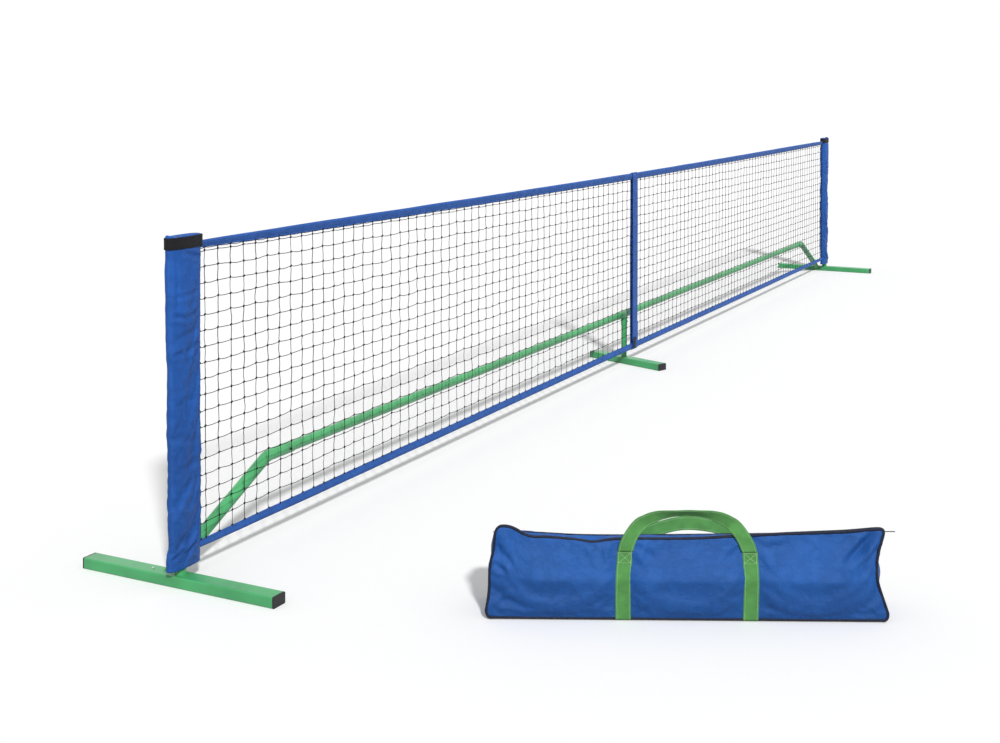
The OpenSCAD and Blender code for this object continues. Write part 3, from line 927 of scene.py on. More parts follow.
class COURTNET_OT_tapes(bpy.types.Operator):
    """Folds the top and bottom tapes over the mesh and sews them"""

    bl_idname = "court_net.tapes"
    bl_label = "Tapes"

    def execute(self, context):
        for node, way in (("top_tape", 1), ("bottom_tape", -1)):
            self.tape(node, way)
        return {"FINISHED"}

    def tape(self, node, way):
        low, high = span(node)
        net_low, net_high = span("net_mesh")
        sag = (high[2] - low[2]) - TAPE
        full = (high[1] - low[1]) / 2
        share = np.array([0, 0.05, 0.14, 0.27, 0.42, 0.58, 0.72, 0.84, 0.93, 0.98])
        thick = np.array([0.30, 0.33, 0.30, 0.42, 0.72, 0.94, 1.0, 0.88, 0.60, 0.30])
        xs = np.linspace(low[0] - 0.006, high[0] + 0.006, 740)
        middle, open_edge = net_middle(), net_high[2] if way > 0 else high[2]
        rows, seams = [], {(k, y): [] for k in (3, 6) for y in (-1, 1)}
        for x in xs:
            down = dip(x, net_low[0], net_high[0], middle)
            fall = sag * down
            sway = 0.0012 * rough((x, 0, way), 2.6) + 0.0005 * rough((x, 3, way), 17)
            drop = 0.0008 * rough((x, 6, way), 4) - (way > 0) * DROOP * (1 - down**2)
            gather = math.exp(-min(x - low[0], high[0] - x) / GATHER)
            front, back = [], []
            for k, (t, w) in enumerate(zip(share, thick)):
                pucker = 0.0009 * rough((x, t, way), 44) * (1 if k < 4 else 0.5)
                z = open_edge - fall + way * TAPE * (t + gather * (0.15 - 0.3 * t)) + drop
                for y, column in ((-1, front), (1, back)):
                    column.append((x, y * (w * full + pucker * y) + sway, z))
                    if (k, y) in seams:
                        seams[k, y].append((x, y * (w * full + 0.0002 + pucker * y) + sway, z))
            fold = (x, sway, open_edge - fall + way * TAPE * (1 - gather * 0.15) + drop)
            rows.append(front + [fold] + back[::-1])
        made = skin(node + "_cloth", rows, wrap=True, caps=True)
        place(made, "stand", "blue_tape", node)
        sew(node + "_stitches", seams.values(), 0.0062, 0.0009, 0.0044, "stand", "blue_thread")


class COURTNET_OT_strap(bpy.types.Operator):
    """Loops the centre strap round both tapes and closes it"""

    bl_idname = "court_net.strap"
    bl_label = "Centre strap"

    def execute(self, context):
        low, high = span("centre_strap")
        thick, bend, flap_gap, start = 0.0024, 0.003, 0.0026, 0.05
        width, y = high[0] - low[0], high[1] - thick / 2
        x, z0, z1 = (low[0] + high[0]) / 2, low[2] + thick / 2, high[2] - thick / 2
        runs = [[(x, -y, z0 + start + (z1 - z0 - start) * t) for t in np.linspace(0, 0.97, 60)],
                [(x, y * math.sin(a), z1 - bend + bend * math.cos(a))
                 for a in np.linspace(-1.5, 1.5, 9)],
                [(x, y, z1 - (z1 - z0) * t) for t in np.linspace(0.03, 0.97, 60)],
                [(x, y * math.sin(a), z0 + bend - bend * math.cos(a))
                 for a in np.linspace(1.5, -1.5, 9)],
                [(x, -y - flap_gap, z0 + t) for t in np.linspace(0.012, 0.125, 14)]]
        path = np.array([p for run in runs for p in run])
        slack = np.sin(np.clip((path[:, 2] - z0) / (z1 - z0), 0, 1) * math.pi)
        path[:, 1] += np.sign(path[:, 1]) * slack * 0.0012
        path[:, 1] += [0.0008 * rough(p, 9) * s for p, s in zip(path, slack)]
        way = unit(np.gradient(path, axis=0))
        across = np.tile((1.0, 0, 0), (len(path), 1))
        out = np.cross(way, across)
        made = strap("centre_strap_webbing", path, across, out, width, thick, 9)
        place(made, "stand", "blue_tape", "centre_strap")
        face = -y - flap_gap - thick / 2 - 0.0003
        half = width / 2 - SEAM
        front = [(-y - thick / 2 - 0.0004 - 0.0012 * math.sin(t * math.pi), z0 + (z1 - z0) * t)
                 for t in np.linspace(0.17, 0.985, 90)]
        rows = [[(x + e * half, a, b) for a, b in front] for e in (-1, 1)]
        box = [(x + e * half, face, z0 + rise)
               for e, rise in ((-1, 0.02), (1, 0.02), (1, 0.118), (-1, 0.118), (-1, 0.02))]
        sew("centre_strap_stitches", [*rows, box], 0.0052, 0.0009, 0.0038, "stand",
            "blue_thread")
        flap = [(x - width * 0.24, face - 0.0004 - 0.003 * t * t, z0 + 0.006 + 0.05 * t)
                for t in np.linspace(0, 1, 8)]
        tips = np.tile((0, -1.0, 0), (len(flap), 1))
        tab = strap("strap_tab", flap, np.tile((1.0, 0, 0), (len(flap), 1)), tips,
                    width * 0.46, 0.0018, 6)
        place(tab, "stand", "black_webbing")
        return {"FINISHED"}


# ---- the sleeves ----


def oval(half_width, half_depth, count, start=0.0):
    """Points round a flat rounded section, evenly spaced from a share of its length."""
    angles = np.linspace(0, TAU, 721)
    x = half_width * np.sign(np.cos(angles)) * np.abs(np.cos(angles)) ** 0.74
    y = half_depth * np.sign(np.sin(angles)) * np.abs(np.sin(angles)) ** 0.86
    away = np.concatenate([[0], np.cumsum(np.hypot(np.diff(x), np.diff(y)))])
    at = (np.arange(count) / count * away[-1] + start * away[-1]) % away[-1]
    return np.stack([np.interp(at, away, x), np.interp(at, away, y)], 1)


class COURTNET_OT_sleeves(bpy.types.Operator):
    """Pads the two post sleeves, hems them and binds their tops"""

    bl_idname = "court_net.sleeves"
    bl_label = "Sleeves and bands"

    def execute(self, context):
        for side in ("left", "right"):
            self.sleeve(side)
            self.band(side)
        return {"FINISHED"}

    def sleeve(self, side):
        s = settings("net")
        low, high = span("sleeve_left")
        centre, half = (low + high) / 2, (high - low) / 2
        count, rows = 76, []
        inner = oval(half[0] - 0.0035, half[1] * s.flat - 0.0025, count) - (0.006, 0)
        for z in (low[2] + 0.06, low[2] + 0.03, low[2] + 0.002):
            rows.append(np.c_[inner + centre[:2], np.full(count, z)])
        for z in np.linspace(low[2], high[2] - 0.001, 150):
            t = (z - low[2]) / (high[2] - low[2])
            narrow = 1 - 0.02 * math.sin(math.pi * t) - 0.05 * (1 - t)
            ring = oval(half[0] * narrow, half[1] * s.flat, count)
            ring[:, 0] += half[0] * (1 - narrow) * 0.4 - 0.008 * (1 - t)
            rows.append(np.c_[ring + centre[:2], np.full(count, z)])
        for share, rise in ((0.97, 0.0004), (0.9, 0.0008), (0.6, -0.002), (0.25, -0.004)):
            ring = oval(half[0] * share, half[1] * s.flat * share, count)
            tip = -ring[:, 0] / half[0]
            tip = 0.006 * ease(tip, 0.80, 0.97) - 0.002 * np.exp(-(((tip - 0.68) / 0.1) ** 2))
            rows.append(np.c_[ring + centre[:2], high[2] + rise + tip * (share > 0.8)])
        rows = [on_side(side, r) for r in rows]
        made = skin(f"post_sleeve_{side}", rows, wrap=True, caps=True)
        points = points_of(made)
        seam = on_side(side, [(high[0], 0, 0)])[0][0]
        z = points[:, 2]
        edge = 1 - ease(np.abs(points[:, 0] - seam), 0.004, 0.016)
        tidy = np.maximum(ease(z, high[2] - 0.05, high[2] - 0.036),
                          1 - ease(z, low[2] + 0.012, low[2] + 0.03))
        held = np.maximum(edge, tidy)
        normals = normals_of(made)
        lumps = np.array([rough(p * (1, 1, 0.55), 24, 3.0) + 0.6 * rough(p, 52, 8.0)
                          for p in points])
        points += normals * (lumps * 0.0022 * (1 - held))[:, None]
        reshape(made, points)
        billow(made, held, 0.007, 1.2, 0.035, 0.15)
        points, normals = points_of(made), normals_of(made)
        for fold in self.folds(low, high):
            a, b = on_side(side, fold[:2])
            points = crease(points, normals, a, b, *fold[2:])
        hem = np.exp(-(((points[:, 2] - low[2] - HEM) / 0.0022) ** 2))
        from_centre = (on_side(side, points) - centre)[:, :2]
        outer = ease(np.linalg.norm(from_centre, axis=1), 0.0, 0.03)
        points -= normals * (0.0011 * hem * outer)[:, None]
        away = points[:, :2] - on_side(side, [(0, 0, 0)])[0][:2]
        reach = np.linalg.norm(away, axis=1)
        tight = (reach < POST_ROOM) & (points[:, 2] > low[2] + 0.07)
        tight &= points[:, 2] < high[2] - 0.006
        points[tight, :2] += away[tight] * (POST_ROOM / reach[tight] - 1)[:, None]
        reshape(made, points)
        finer(made)
        place(made, "stand", "blue_fabric", f"sleeve_{side}")
        seam_row = self.row_at(points_of(made), low[2] + HEM, 0.0035)
        sew(f"hem_stitches_{side}", [seam_row], 0.0052, 0.0009, 0.0038, "stand", "blue_thread")

    def row_at(self, points, height, slack):
        """The outer points near a height, in order round the sleeve, lifted a little."""
        near = points[np.abs(points[:, 2] - height) < slack]
        middle = near[:, :2].mean(0)
        angle = np.arctan2(near[:, 1] - middle[1], near[:, 0] - middle[0])
        row = []
        for a in np.linspace(-math.pi, math.pi, 90):
            gap = np.abs((angle - a + math.pi) % TAU - math.pi)
            spot = near[np.argmin(gap + 0.3 / np.linalg.norm(near[:, :2] - middle, axis=1))]
            away = spot[:2] - middle
            away /= np.linalg.norm(away)
            row.append((spot[0] + away[0] * 0.0004, spot[1] + away[1] * 0.0004, height))
        return row

    # folds in millimetres: face (-1 front, 1 back), two ends in from the left (+) or right (-)
    # edge and up from the foot (+) or down from the top (-), then depth and width
    FOLDS = ((-1, 52, -46, -4, -64, 5, 5), (-1, 10, -158, -10, -148, 2.5, 6),
             (-1, 6, -205, 60, -214, 4, 6), (-1, 50, -214, -6, -198, 4, 7),
             (-1, 20, -265, -10, -245, 2.5, 8), (-1, 5, -306, 65, -301, 4, 6),
             (-1, 60, -301, -10, -282, 4, 7), (-1, 20, -440, -20, -425, 2.5, 10),
             (-1, 10, -520, -30, -545, 2.5, 9), (-1, 30, -610, -5, -590, 3, 9),
             (-1, -12, 85, 30, 12, 5, 6), (-1, 10, 170, -30, 250, 2.5, 9),
             (1, 30, -60, -20, -100, 3.5, 7), (1, 20, 50, -30, 120, 3.5, 8),
             (1, 20, 420, -30, 360, 2.5, 9), (1, 10, -300, -10, -270, 3, 8),
             (-1, 8, -40, 6, 20, 4, 3.5))

    def folds(self, low, high):
        """The left sleeve's folds: two ends, depth and width, in metres."""
        for face, *row in self.FOLDS:
            y = (low if face < 0 else high)[1] * settings("net").flat
            x0, z0, x1, z1, depth, width = np.array(row) * MM
            a, b = (((low if x > 0 else high)[0] + x, y, (low if z > 0 else high)[2] + z)
                    for x, z in ((x0, z0), (x1, z1)))
            yield a, b, depth, width

    def band(self, side):
        low, high = span("band_left")
        centre = (low + high) / 2
        inside = (span("sleeve_left")[1] - span("sleeve_left")[0]) / 2
        loop = oval(inside[0] + WEB / 2 + 0.0004,
                    inside[1] * settings("net").flat + WEB / 2 + 0.0004, 120, 0.93)
        loop = np.concatenate([loop, loop[:14]])
        n = len(loop)
        lift = np.zeros(n)
        lift[-20:] = ease(np.arange(20), 0, 6) * 0.0026
        way = np.gradient(loop, axis=0)
        out = unit(np.stack([way[:, 1], -way[:, 0]], 1))
        out *= np.sign(np.sum(out * (loop - loop.mean(0)), 1))[:, None]
        loop += out * lift[:, None]
        wave = [0.0006 * rough((p[0], p[1], 4), 40) for p in loop]
        path = on_side(side, np.c_[loop + centre[:2], centre[2] + np.array(wave)])
        out3 = np.c_[out * ((-1 if side == "right" else 1), 1), np.zeros(n)]
        up = np.tile((0, 0, 1.0), (n, 1))
        tall = high[2] - low[2] - 0.006
        path[:, 2] += 0.0015
        made = strap(f"binding_{side}", path, up, out3, tall, WEB, 8)
        place(made, "stand", "black_webbing", f"band_{side}")
        proud = path + out3 * (WEB / 2 + 0.0003)
        rows = [proud + (0, 0, e * (tall / 2 - 0.003)) for e in (-1, 1)]
        end = [proud[-2] + (0, 0, t)
               for t in np.linspace(0.003 - tall / 2, tall / 2 - 0.003, 8)]
        sew(f"binding_stitches_{side}", [*rows, end], 0.0048, 0.0008, 0.0036, "stand",
            "black_thread")


# ---- the bag ----


BAG_CELLS = (136, 18, 28)


def through(x, table):
    """A smooth curve through a table's pairs, read at x."""
    at, value = np.array(table, float).T
    slope = np.gradient(value, at)
    x = np.clip(np.asarray(x, float), at[0], at[-1])
    k = np.clip(np.searchsorted(at, x) - 1, 0, len(at) - 2)
    wide = at[k + 1] - at[k]
    t = (x - at[k]) / wide
    return ((2 * t**3 - 3 * t**2 + 1) * value[k] + (t**3 - 2 * t**2 + t) * wide * slope[k]
            + (3 * t**2 - 2 * t**3) * value[k + 1] + (t**3 - t**2) * wide * slope[k + 1])


class BagShape:
    """The bag's surface in its own frame: the frame's sizes, with sag, lean and pinch.

    The tables give millimetres above the plain top, or in from the plain ends, against
    millimetres along the bag, or against shares of its height.
    """

    FRONT = ((-485, 14), (-468, 14), (-448, 13), (-432, 9), (-420, 4), (-407, -3), (-393, -9),
             (-379, -12), (-365, -13.5), (-346, -12), (-328, -13.5), (-300, -16), (-272, -18),
             (-250, -22), (-228, -24.5), (-212, -23), (-196, -19), (-178, -16.5), (-150, -16),
             (28, -13.5), (125, -7), (173, -4.5), (232, -1), (313, 2.5), (394, 6.5), (434, 10),
             (465, 12.5), (485, 12.5))
    ZIP = ((-485, 0), (-420, 0), (-350, -2), (-280, -5.5), (-170, -6.5), (-60, -5), (80, -2.5),
           (220, 0), (485, 0))
    SWELL = ((-485, 6), (-440, 9), (-404, 9.5), (-366, 7), (-346, 2), (-328, -2), (-306, -5),
             (-280, -7), (-255, -9.5), (-232, -12), (-212, -9), (-190, -10.5), (-100, -12),
             (0, -9), (100, -4), (156, 1), (240, 6), (326, 9), (409, 9), (450, 8), (485, 3))
    BACK = ((-485, 4), (-390, 0), (-194, -7), (0, -9), (194, -7), (390, -1), (485, 4))
    LEFT = ((0, -2), (0.04, -5.5), (0.10, -5), (0.2, -0.5), (0.35, 2.8), (0.52, 3.3),
            (0.6, 5), (0.69, 11), (0.79, 14), (0.88, 16), (1, 17))
    RIGHT = ((0, -3), (0.08, -4.5), (0.15, 1), (0.27, 10.5), (0.39, 19.5), (0.49, 24.5),
             (0.62, 25), (0.77, 20), (0.92, 10), (1, 6))

    def __init__(self):
        self.front = bag_span("piping_front")
        self.back = bag_span("piping_back")
        self.low = self.front[0][2]
        self.half = (self.front[1][0] - self.front[0][0]) / 2
        self.depth = self.back[1][1]
        self.high = self.front[1][2]
        self.fall = (self.back[1][2] - self.high) / (2 * self.depth)
        zip_low, zip_high = bag_span("zip_tape")
        self.zip = (zip_low[1] + zip_high[1]) / 2
        self.gap = 0.5 * (zip_high[1] - zip_low[1]) / 2
        low, high = bag_span("webbing_right")
        self.web, self.web_half = (low[0] + high[0]) / 2, (high[0] - low[0]) / 2

    def wander(self, side, y, z):
        """How far a band of webbing strays along the front wall at a height."""
        way = 1 if side == "left" else -1
        full = 0.0075 if side == "left" else 0.0055
        stray = 0.003 + (full - 0.003) * ease(z, 0.09, 0.19) - 0.001 * np.sin(
            math.pi * np.clip(z / 0.16, 0, 1))
        return way * stray * (np.asarray(y) < 0)

    def plane(self, y):
        """Height of the plain sloping top."""
        return self.high + (y + self.depth) * self.fall

    def top(self, x, y):
        """Height of the top, with the sag of its edges and of the zip."""
        x = np.asarray(x) / MM
        near, far = self.zip - 0.009, self.zip + 0.011
        z = self.plane(y) + through(x, self.ZIP) * MM
        rise = (through(x, self.FRONT) - through(x, self.ZIP)) * MM
        z = z + rise * (1 - ease(y, -self.depth, near))
        back = np.clip((y - far) / (self.depth - far), 0, 1)
        swell = (through(x, self.SWELL) - through(x, self.ZIP)) * MM
        z = z + swell * np.sin(math.pi * back**0.75) ** 0.9
        return z + through(x, self.BACK) * MM * back**2

    def lean(self, x, z, side):
        """How far the front (-1) or back (1) wall stands out of its plain face."""
        full = self.plane(side * self.depth) - self.low
        share = np.clip((z - self.low) / full, 0, 1)
        peak = 0.47
        tent = np.minimum(share / peak, (1 - share) / (1 - peak)) ** 0.92
        free = 1 - np.exp(-(((np.abs(x) - self.web) / 0.045) ** 2))
        ends = ease(self.half - np.abs(x), 0, 0.13)
        bulge = settings("bag").bulge * (0.3 if side > 0 else 1)
        return tent * ends * (0.008 * tent + bulge * free)

    def shell(self, where):
        """Points of the shell for places from -1 to 1 in length, depth and height."""
        u, v, w = where.T
        x, y = u * self.half, v * self.depth
        top = self.top(x, y) - 0.0016 * (
            1 - ease(np.abs(y - self.zip), self.gap, self.gap + 0.004))
        share = (w + 1) / 2
        z = self.low + share * (top - self.low)
        # the ends lean in, most at the front, and swell at their middles
        depth = ease(y, -self.depth, self.zip + 0.06 * (1 - ease(share, 0.8, 0.97)))
        left = through(share, self.LEFT) * (1 - depth) + (6 + 9 * share) * depth
        right = through(share, self.RIGHT) * (1 - depth)
        right = right + (4 + 3 * np.sin(math.pi * share)) * depth
        ends = ease(np.abs(u), 0.74, 1)
        swell = 4 * (1 - v**2) * np.sin(math.pi * share) ** 0.8 * (np.abs(u) > 0.999)
        x = x + (np.where(u < 0, left - swell, swell - right) * MM) * ends
        # round corners of the front and back panels
        radius = np.where(u < 0, 0.020, 0.010) * (1 - ease(self.depth - np.abs(y), 0.0, 0.03))
        radius = np.where(w > 0, radius, 0.010) + 1e-5
        a = np.clip((np.abs(u) * self.half - (self.half - radius)) / radius, 0, 1)
        reach = np.minimum(share, 1 - share) * (top - self.low)
        b = np.clip(1 - reach / radius, 0, 1)
        x = x - np.sign(u) * radius * a * (1 - np.sqrt(1 - b**2 / 2))
        z = z - np.sign(w) * radius * b * (1 - np.sqrt(1 - a**2 / 2))
        y = y + np.sign(v) * np.abs(v) ** 4 * np.where(
            v < 0, self.lean(x, z, -1), self.lean(x, z, 1))
        return np.stack([x, y, z], 1)


class COURTNET_OT_bag(bpy.types.Operator):
    """Sews the bag's shell, lets it sag and wrinkle, and pipes its edges"""

    bl_idname = "court_net.bag"
    bl_label = "Bag"

    def execute(self, context):
        shape = BagShape()
        made, keys, where = self.box()
        points = shape.shell(where)
        size = np.array([shape.half, shape.depth, (shape.high - shape.low) / 2])
        radius = 0.006
        out = where * size
        out -= np.clip(out, radius - size, size - radius)
        reach = np.linalg.norm(out, axis=1)[:, None]
        points += out * (radius / np.maximum(reach, radius) - 1)
        held = self.held(shape, points, where)
        normals = self.outward(where)
        lumps = np.array([rough(p * (0.7, 1, 1.2), 17, 5.0) + 0.8 * rough(p, 38, 1.0)
                          for p in points])
        points += normals * (0.0018 * lumps * (1 - held))[:, None]
        reshape(made, to_bag(points))
        billow(made, held, 0.0045, 0.35, 0.02, 0.3)
        settled = from_bag(points_of(made))
        points = settled + normals * (0.0004 * self.crumple(settled))[:, None]
        for a, b, depth, width, ridge in self.folds(shape):
            points = crease(points, normals, a, b, depth, width, ridge)
        points = settled + (points - settled) * (1 - held)[:, None]
        reshape(made, to_bag(points))
        self.pipe(shape, "front", keys, points, 0)
        self.pipe(shape, "back", keys, points, BAG_CELLS[1])
        finer(made)
        parts = ("bag_front", "bag_back", "bag_base", "bag_end_left", "bag_end_right",
                 "bag_top_front", "bag_top_back")
        place(made, "bag", "bag_fabric", *parts)
        return {"FINISHED"}

    def crumple(self, points):
        """Crisp small ridges, in shares of their height."""
        return np.array([0.35 - abs(rough(p * (0.8, 1, 1.1), 15, 4.0)) * 1.6
                         - abs(rough(p, 33, 9.0)) * 0.9 for p in points])

    def box(self):
        """A gridded box: the object, each point's cell and its place from -1 to 1."""
        n = BAG_CELLS
        index, faces, maps = {}, [], []
        size = np.array([0.97, 0.15, 0.21]) / n
        for axis in range(3):
            b, c = [k for k in range(3) if k != axis]
            for end in (0, n[axis]):
                for i in range(n[b]):
                    for j in range(n[c]):
                        face, spots = [], []
                        for di, dj in ((0, 0), (1, 0), (1, 1), (0, 1)):
                            key = [0, 0, 0]
                            key[axis], key[b], key[c] = end, i + di, j + dj
                            face.append(index.setdefault(tuple(key), len(index)))
                            spots.append(((i + di) * size[b], (j + dj) * size[c]))
                        if (end == 0) != (axis == 1):
                            face, spots = face[::-1], spots[::-1]
                        faces.append(face)
                        maps += spots
        keys = np.array(list(index))
        where = 2 * keys / np.array(n) - 1
        where = where * (1.12 - 0.12 * where**2)
        return mesh_object("bag_shell", where, faces, maps, mended=False), keys, where

    def outward(self, where):
        """The box's outward direction at each point."""
        return unit(where * (np.abs(where) > 0.999))

    def held(self, shape, points, where):
        """Where the shell is sewn down or weighed down: edges, zip, webbing and floor."""
        x, y, z = points.T
        face = np.abs(where[:, 1]) > 0.999
        edge = ((np.abs(where) > 0.999).sum(1) > 1) * 1.0
        zipped = (where[:, 2] > 0.999) * (
            1 - ease(np.abs(y - shape.zip), shape.gap, shape.gap + 0.008))
        tall = np.where(y < 0, bag_span("webbing_left")[1][2], 0.118)
        web = 1 - ease(np.abs(np.abs(x) - shape.web), shape.web_half, shape.web_half + 0.012)
        web *= face * (1 - ease(z - tall, -0.004, 0.03))
        floor = (where[:, 2] < -0.999) + face * (1 - ease(z - shape.low, 0.006, 0.024))
        return np.clip(edge + zipped + web + floor, 0, 1)

    # stronger folds by face, in millimetres: the two places on it of each end, depth, width,
    # and the share of the ridge beside it
    FOLDS = {
        "front": ((-470, 185, -437, 150, 9.5, 10, 0.2), (-445, 160, -414, 124, 6.8, 5, 0.7),
                  (-474, 137, -425, 112, 8.1, 5, 0.8), (-472, 106, -418, 101, 4.1, 6, 0.6),
                  (-465, 34, -424, 56, 4.1, 6, 0.7), (384, 146, 452, 216, 12.1, 9, 0.5),
                  (431, 148, 456, 184, 8.1, 5, 0.5), (436, 128, 466, 78, 4.1, 7, 0.5),
                  (-236, 190, -186, 132, 3.4, 8, 0.6), (178, 180, 246, 190, 3.4, 7, 0.6),
                  (-128, 186, -70, 150, 4.1, 8, 0.6), (130, 180, 80, 140, 4.1, 8, 0.6),
                  (-132, 60, -90, 40, 2.7, 6, 0.6), (182, 70, 230, 45, 3.4, 7, 0.6)),
        "left": ((-45, 180, 30, 60, 8.1, 10, 0.5), (0, 160, 50, 120, 5.4, 8, 0.5)),
        "right": ((-55, 170, 40, 80, 9.5, 10, 0.5), (-20, 60, 50, 50, 5.4, 8, 0.5)),
        "back": ((-400, 130, -270, 70, 6.8, 10, 0.5), (250, 120, 420, 50, 8.1, 10, 0.5),
                 (-60, 120, 90, 80, 5.4, 10, 0.5)),
        "top": ((-380, 0, -270, 55, 6.8, 10, 0.5), (100, 50, 220, -5, 5.4, 9, 0.5),
                (330, 60, 430, 0, 6.8, 9, 0.5), (-100, 60, -20, 10, 5.4, 9, 0.5)),
    }

    def folds(self, shape):
        """The stronger folds: two ends, depth, width and ridge, in metres."""
        half, depth = shape.half, shape.depth
        spots = {"front": lambda a, b: (a, -depth, b), "back": lambda a, b: (a, depth, b),
                 "left": lambda a, b: (-half, a, b), "right": lambda a, b: (half, a, b),
                 "top": lambda a, b: (a, b, shape.plane(b))}
        for face, rows in self.FOLDS.items():
            spot = spots[face]
            for *row, ridge in rows:
                a, b, c, d, deep, wide = np.array(row) * MM
                yield spot(a, b), spot(c, d), deep, wide, ridge

    def pipe(self, shape, name, keys, points, row):
        """A piped edge round the front or back panel."""
        n = BAG_CELLS
        spots = {tuple(k): p for k, p in zip(keys, points)}
        ring = [(i, row, 0) for i in range(n[0])] + [(n[0], row, k) for k in range(n[2])]
        ring += [(i, row, n[2]) for i in range(n[0], 0, -1)]
        ring += [(0, row, k) for k in range(n[2], 0, -1)]
        path = np.array([spots[k] for k in ring])
        r = settings("bag").piping
        for _ in range(3):
            path = (np.roll(path, 1, 0) + path * 2 + np.roll(path, -1, 0)) / 4
        path[:, 1] = (-1 if row == 0 else 1) * (shape.depth - 0.0018)
        path[:, 2] = np.maximum(path[:, 2], shape.low + r)
        flare = ease(path[:, 0], 0.15, 0.4) * (path[:, 2] > 0.1) + 0.6 * (
            (np.abs(path[:, 0]) > shape.half - 0.012) & (path[:, 2] < 0.03))
        radii = r * (1 + 0.28 * flare)
        made = tube(f"edge_piping_{name}", to_bag(path), radii, 12, loop=True)
        place(made, "bag", "bag_piping", f"piping_{name}")


def turned(vectors):
    """Directions of the bag's own frame, turned to how it stands."""
    return np.asarray(vectors, float) @ BAG_ARRAY[:3, :3].T


def upright(vectors, share):
    """Unit directions, turned upright by a share of their length."""
    straight = np.sign(vectors[:, 2:]) * np.linalg.norm(vectors, axis=1)[:, None] * (0, 0, 1.0)
    return unit(vectors * (1 - share)[:, None] + straight * share[:, None])


class COURTNET_OT_zip(bpy.types.Operator):
    """Lays the zip's tapes and sets its teeth"""

    bl_idname = "court_net.zip"
    bl_label = "Zip"

    def execute(self, context):
        shape = BagShape()
        xs = np.linspace(0.013 - shape.half, shape.half - 0.004, 160)
        ys = shape.zip + np.linspace(-1, 1, 11) * (shape.gap + 0.002)
        rows = []
        for x in xs:
            ripple = [0.0002 * rough((x, y, 2), 60) for y in ys]
            z = shape.top(x, ys) - 0.0003
            over = [(x, y, h + r) for y, h, r in zip(ys, z, ripple)]
            under = [(x, y, h - 0.0014) for y, h in zip(ys, z)]
            rows.append(to_bag(over + under[::-1]))
        made = skin("zip_cloth", rows, wrap=True, caps=True)
        place(made, "bag", "zip_cloth", "zip_tape")
        step = settings("bag").tooth
        lines, seams = [], []
        for side, lag in ((-1, 0), (1, step / 2)):
            y = shape.zip + side * 0.0010
            lines.append(to_bag([(x + lag, y, shape.top(x, y) + 0.0006) for x in xs[1:-1]]))
            y = shape.zip + side * (shape.gap + 0.0055)
            seams.append(to_bag([(x, y, shape.top(x, y) + 0.0005) for x in xs[1:-1]]))
        beads("zip_teeth", lines, step, (0.0030, 0.0030, 0.0016), "bag", "zip_metal", 0.0)
        sew("zip_stitches", seams, 0.0042, 0.0008, 0.0032, "bag", "blue_thread")
        return {"FINISHED"}


class COURTNET_OT_webbing(bpy.types.Operator):
    """Runs the two webbing bands round the bag and sews them"""

    bl_idname = "court_net.webbing"
    bl_label = "Webbing"

    def execute(self, context):
        shape = BagShape()
        threads = self.band(shape, "left") + self.band(shape, "right")
        sew("webbing_stitches", threads, settings("bag").stitch, 0.0015, 0.0034, "bag",
            "green_thread", 0.15)
        return {"FINISHED"}

    def band(self, shape, side):
        low, high = bag_span(f"webbing_{side}")
        x, width = (low[0] + high[0]) / 2, high[0] - low[0]
        front, back = low[1] + WEB / 2, high[1] - WEB / 2
        top, back_top = high[2], 0.1162
        bend, floor = 0.006, WEB / 2 + 0.0009
        path = [(x, front, z) for z in np.linspace(top, floor + bend, 30)]
        path += [(x, front + bend * (1 - math.cos(a)), floor + bend * (1 - math.sin(a)))
                 for a in np.linspace(0.2, 1.4, 6)]
        path += [(x, y, floor) for y in np.linspace(front + bend, back - bend, 14)]
        path += [(x, back - bend * (1 - math.sin(a)), floor + bend * (1 - math.cos(a)))
                 for a in np.linspace(0.2, 1.4, 6)]
        path += [(x, back, z) for z in np.linspace(floor + bend, back_top, 24)]
        path = np.array(path)
        path[:, 0] += shape.wander(side, path[:, 1], path[:, 2])
        wall = np.sign(path[:, 1]) * (path[:, 2] > floor + bend * 0.9)
        path[:, 1] += wall * [max(0, shape.lean(x, p[2], s or 1)) + 0.0004 * rough(p, 18)
                              for p, s in zip(path, wall)]
        end = np.where(path[:, 1] < 0, top, back_top)
        way = upright(np.gradient(path, axis=0), ease(path[:, 2], end - 0.014, end - 0.001))
        across = unit(np.array((1.0, 0, 0)) - way * way[:, :1])
        out = np.cross(way, across)
        made = strap(f"webbing_band_{side}", to_bag(path), turned(across), turned(out),
                     width, WEB, 8)
        place(made, "bag", "green_webbing", f"webbing_{side}")
        proud = path + out * (WEB / 2 + 0.0002)
        half = width / 2 - SEAM
        rows = [to_bag(proud + across * e * half) for e in (-1, 1)]
        for s, z1 in ((-1, top), (1, back_top)):
            a, b = z1 - 0.003, z1 - 0.028
            y = {z: s * (abs(front) + shape.lean(x, z, s) + WEB / 2 + 0.0003) for z in (a, b)}
            left, right = (x + e * half + shape.wander(side, s, (a + b) / 2) for e in (-1, 1))
            box = [(left, y[a], a), (right, y[a], a), (right, y[b], b), (left, y[b], b),
                   (left, y[a], a), (right, y[b], b)]
            rows += [to_bag(box), to_bag([(right, y[a], a), (left, y[b], b)])]
        return [smooth_path(r, max(12, len(r) * 3)) for r in rows]


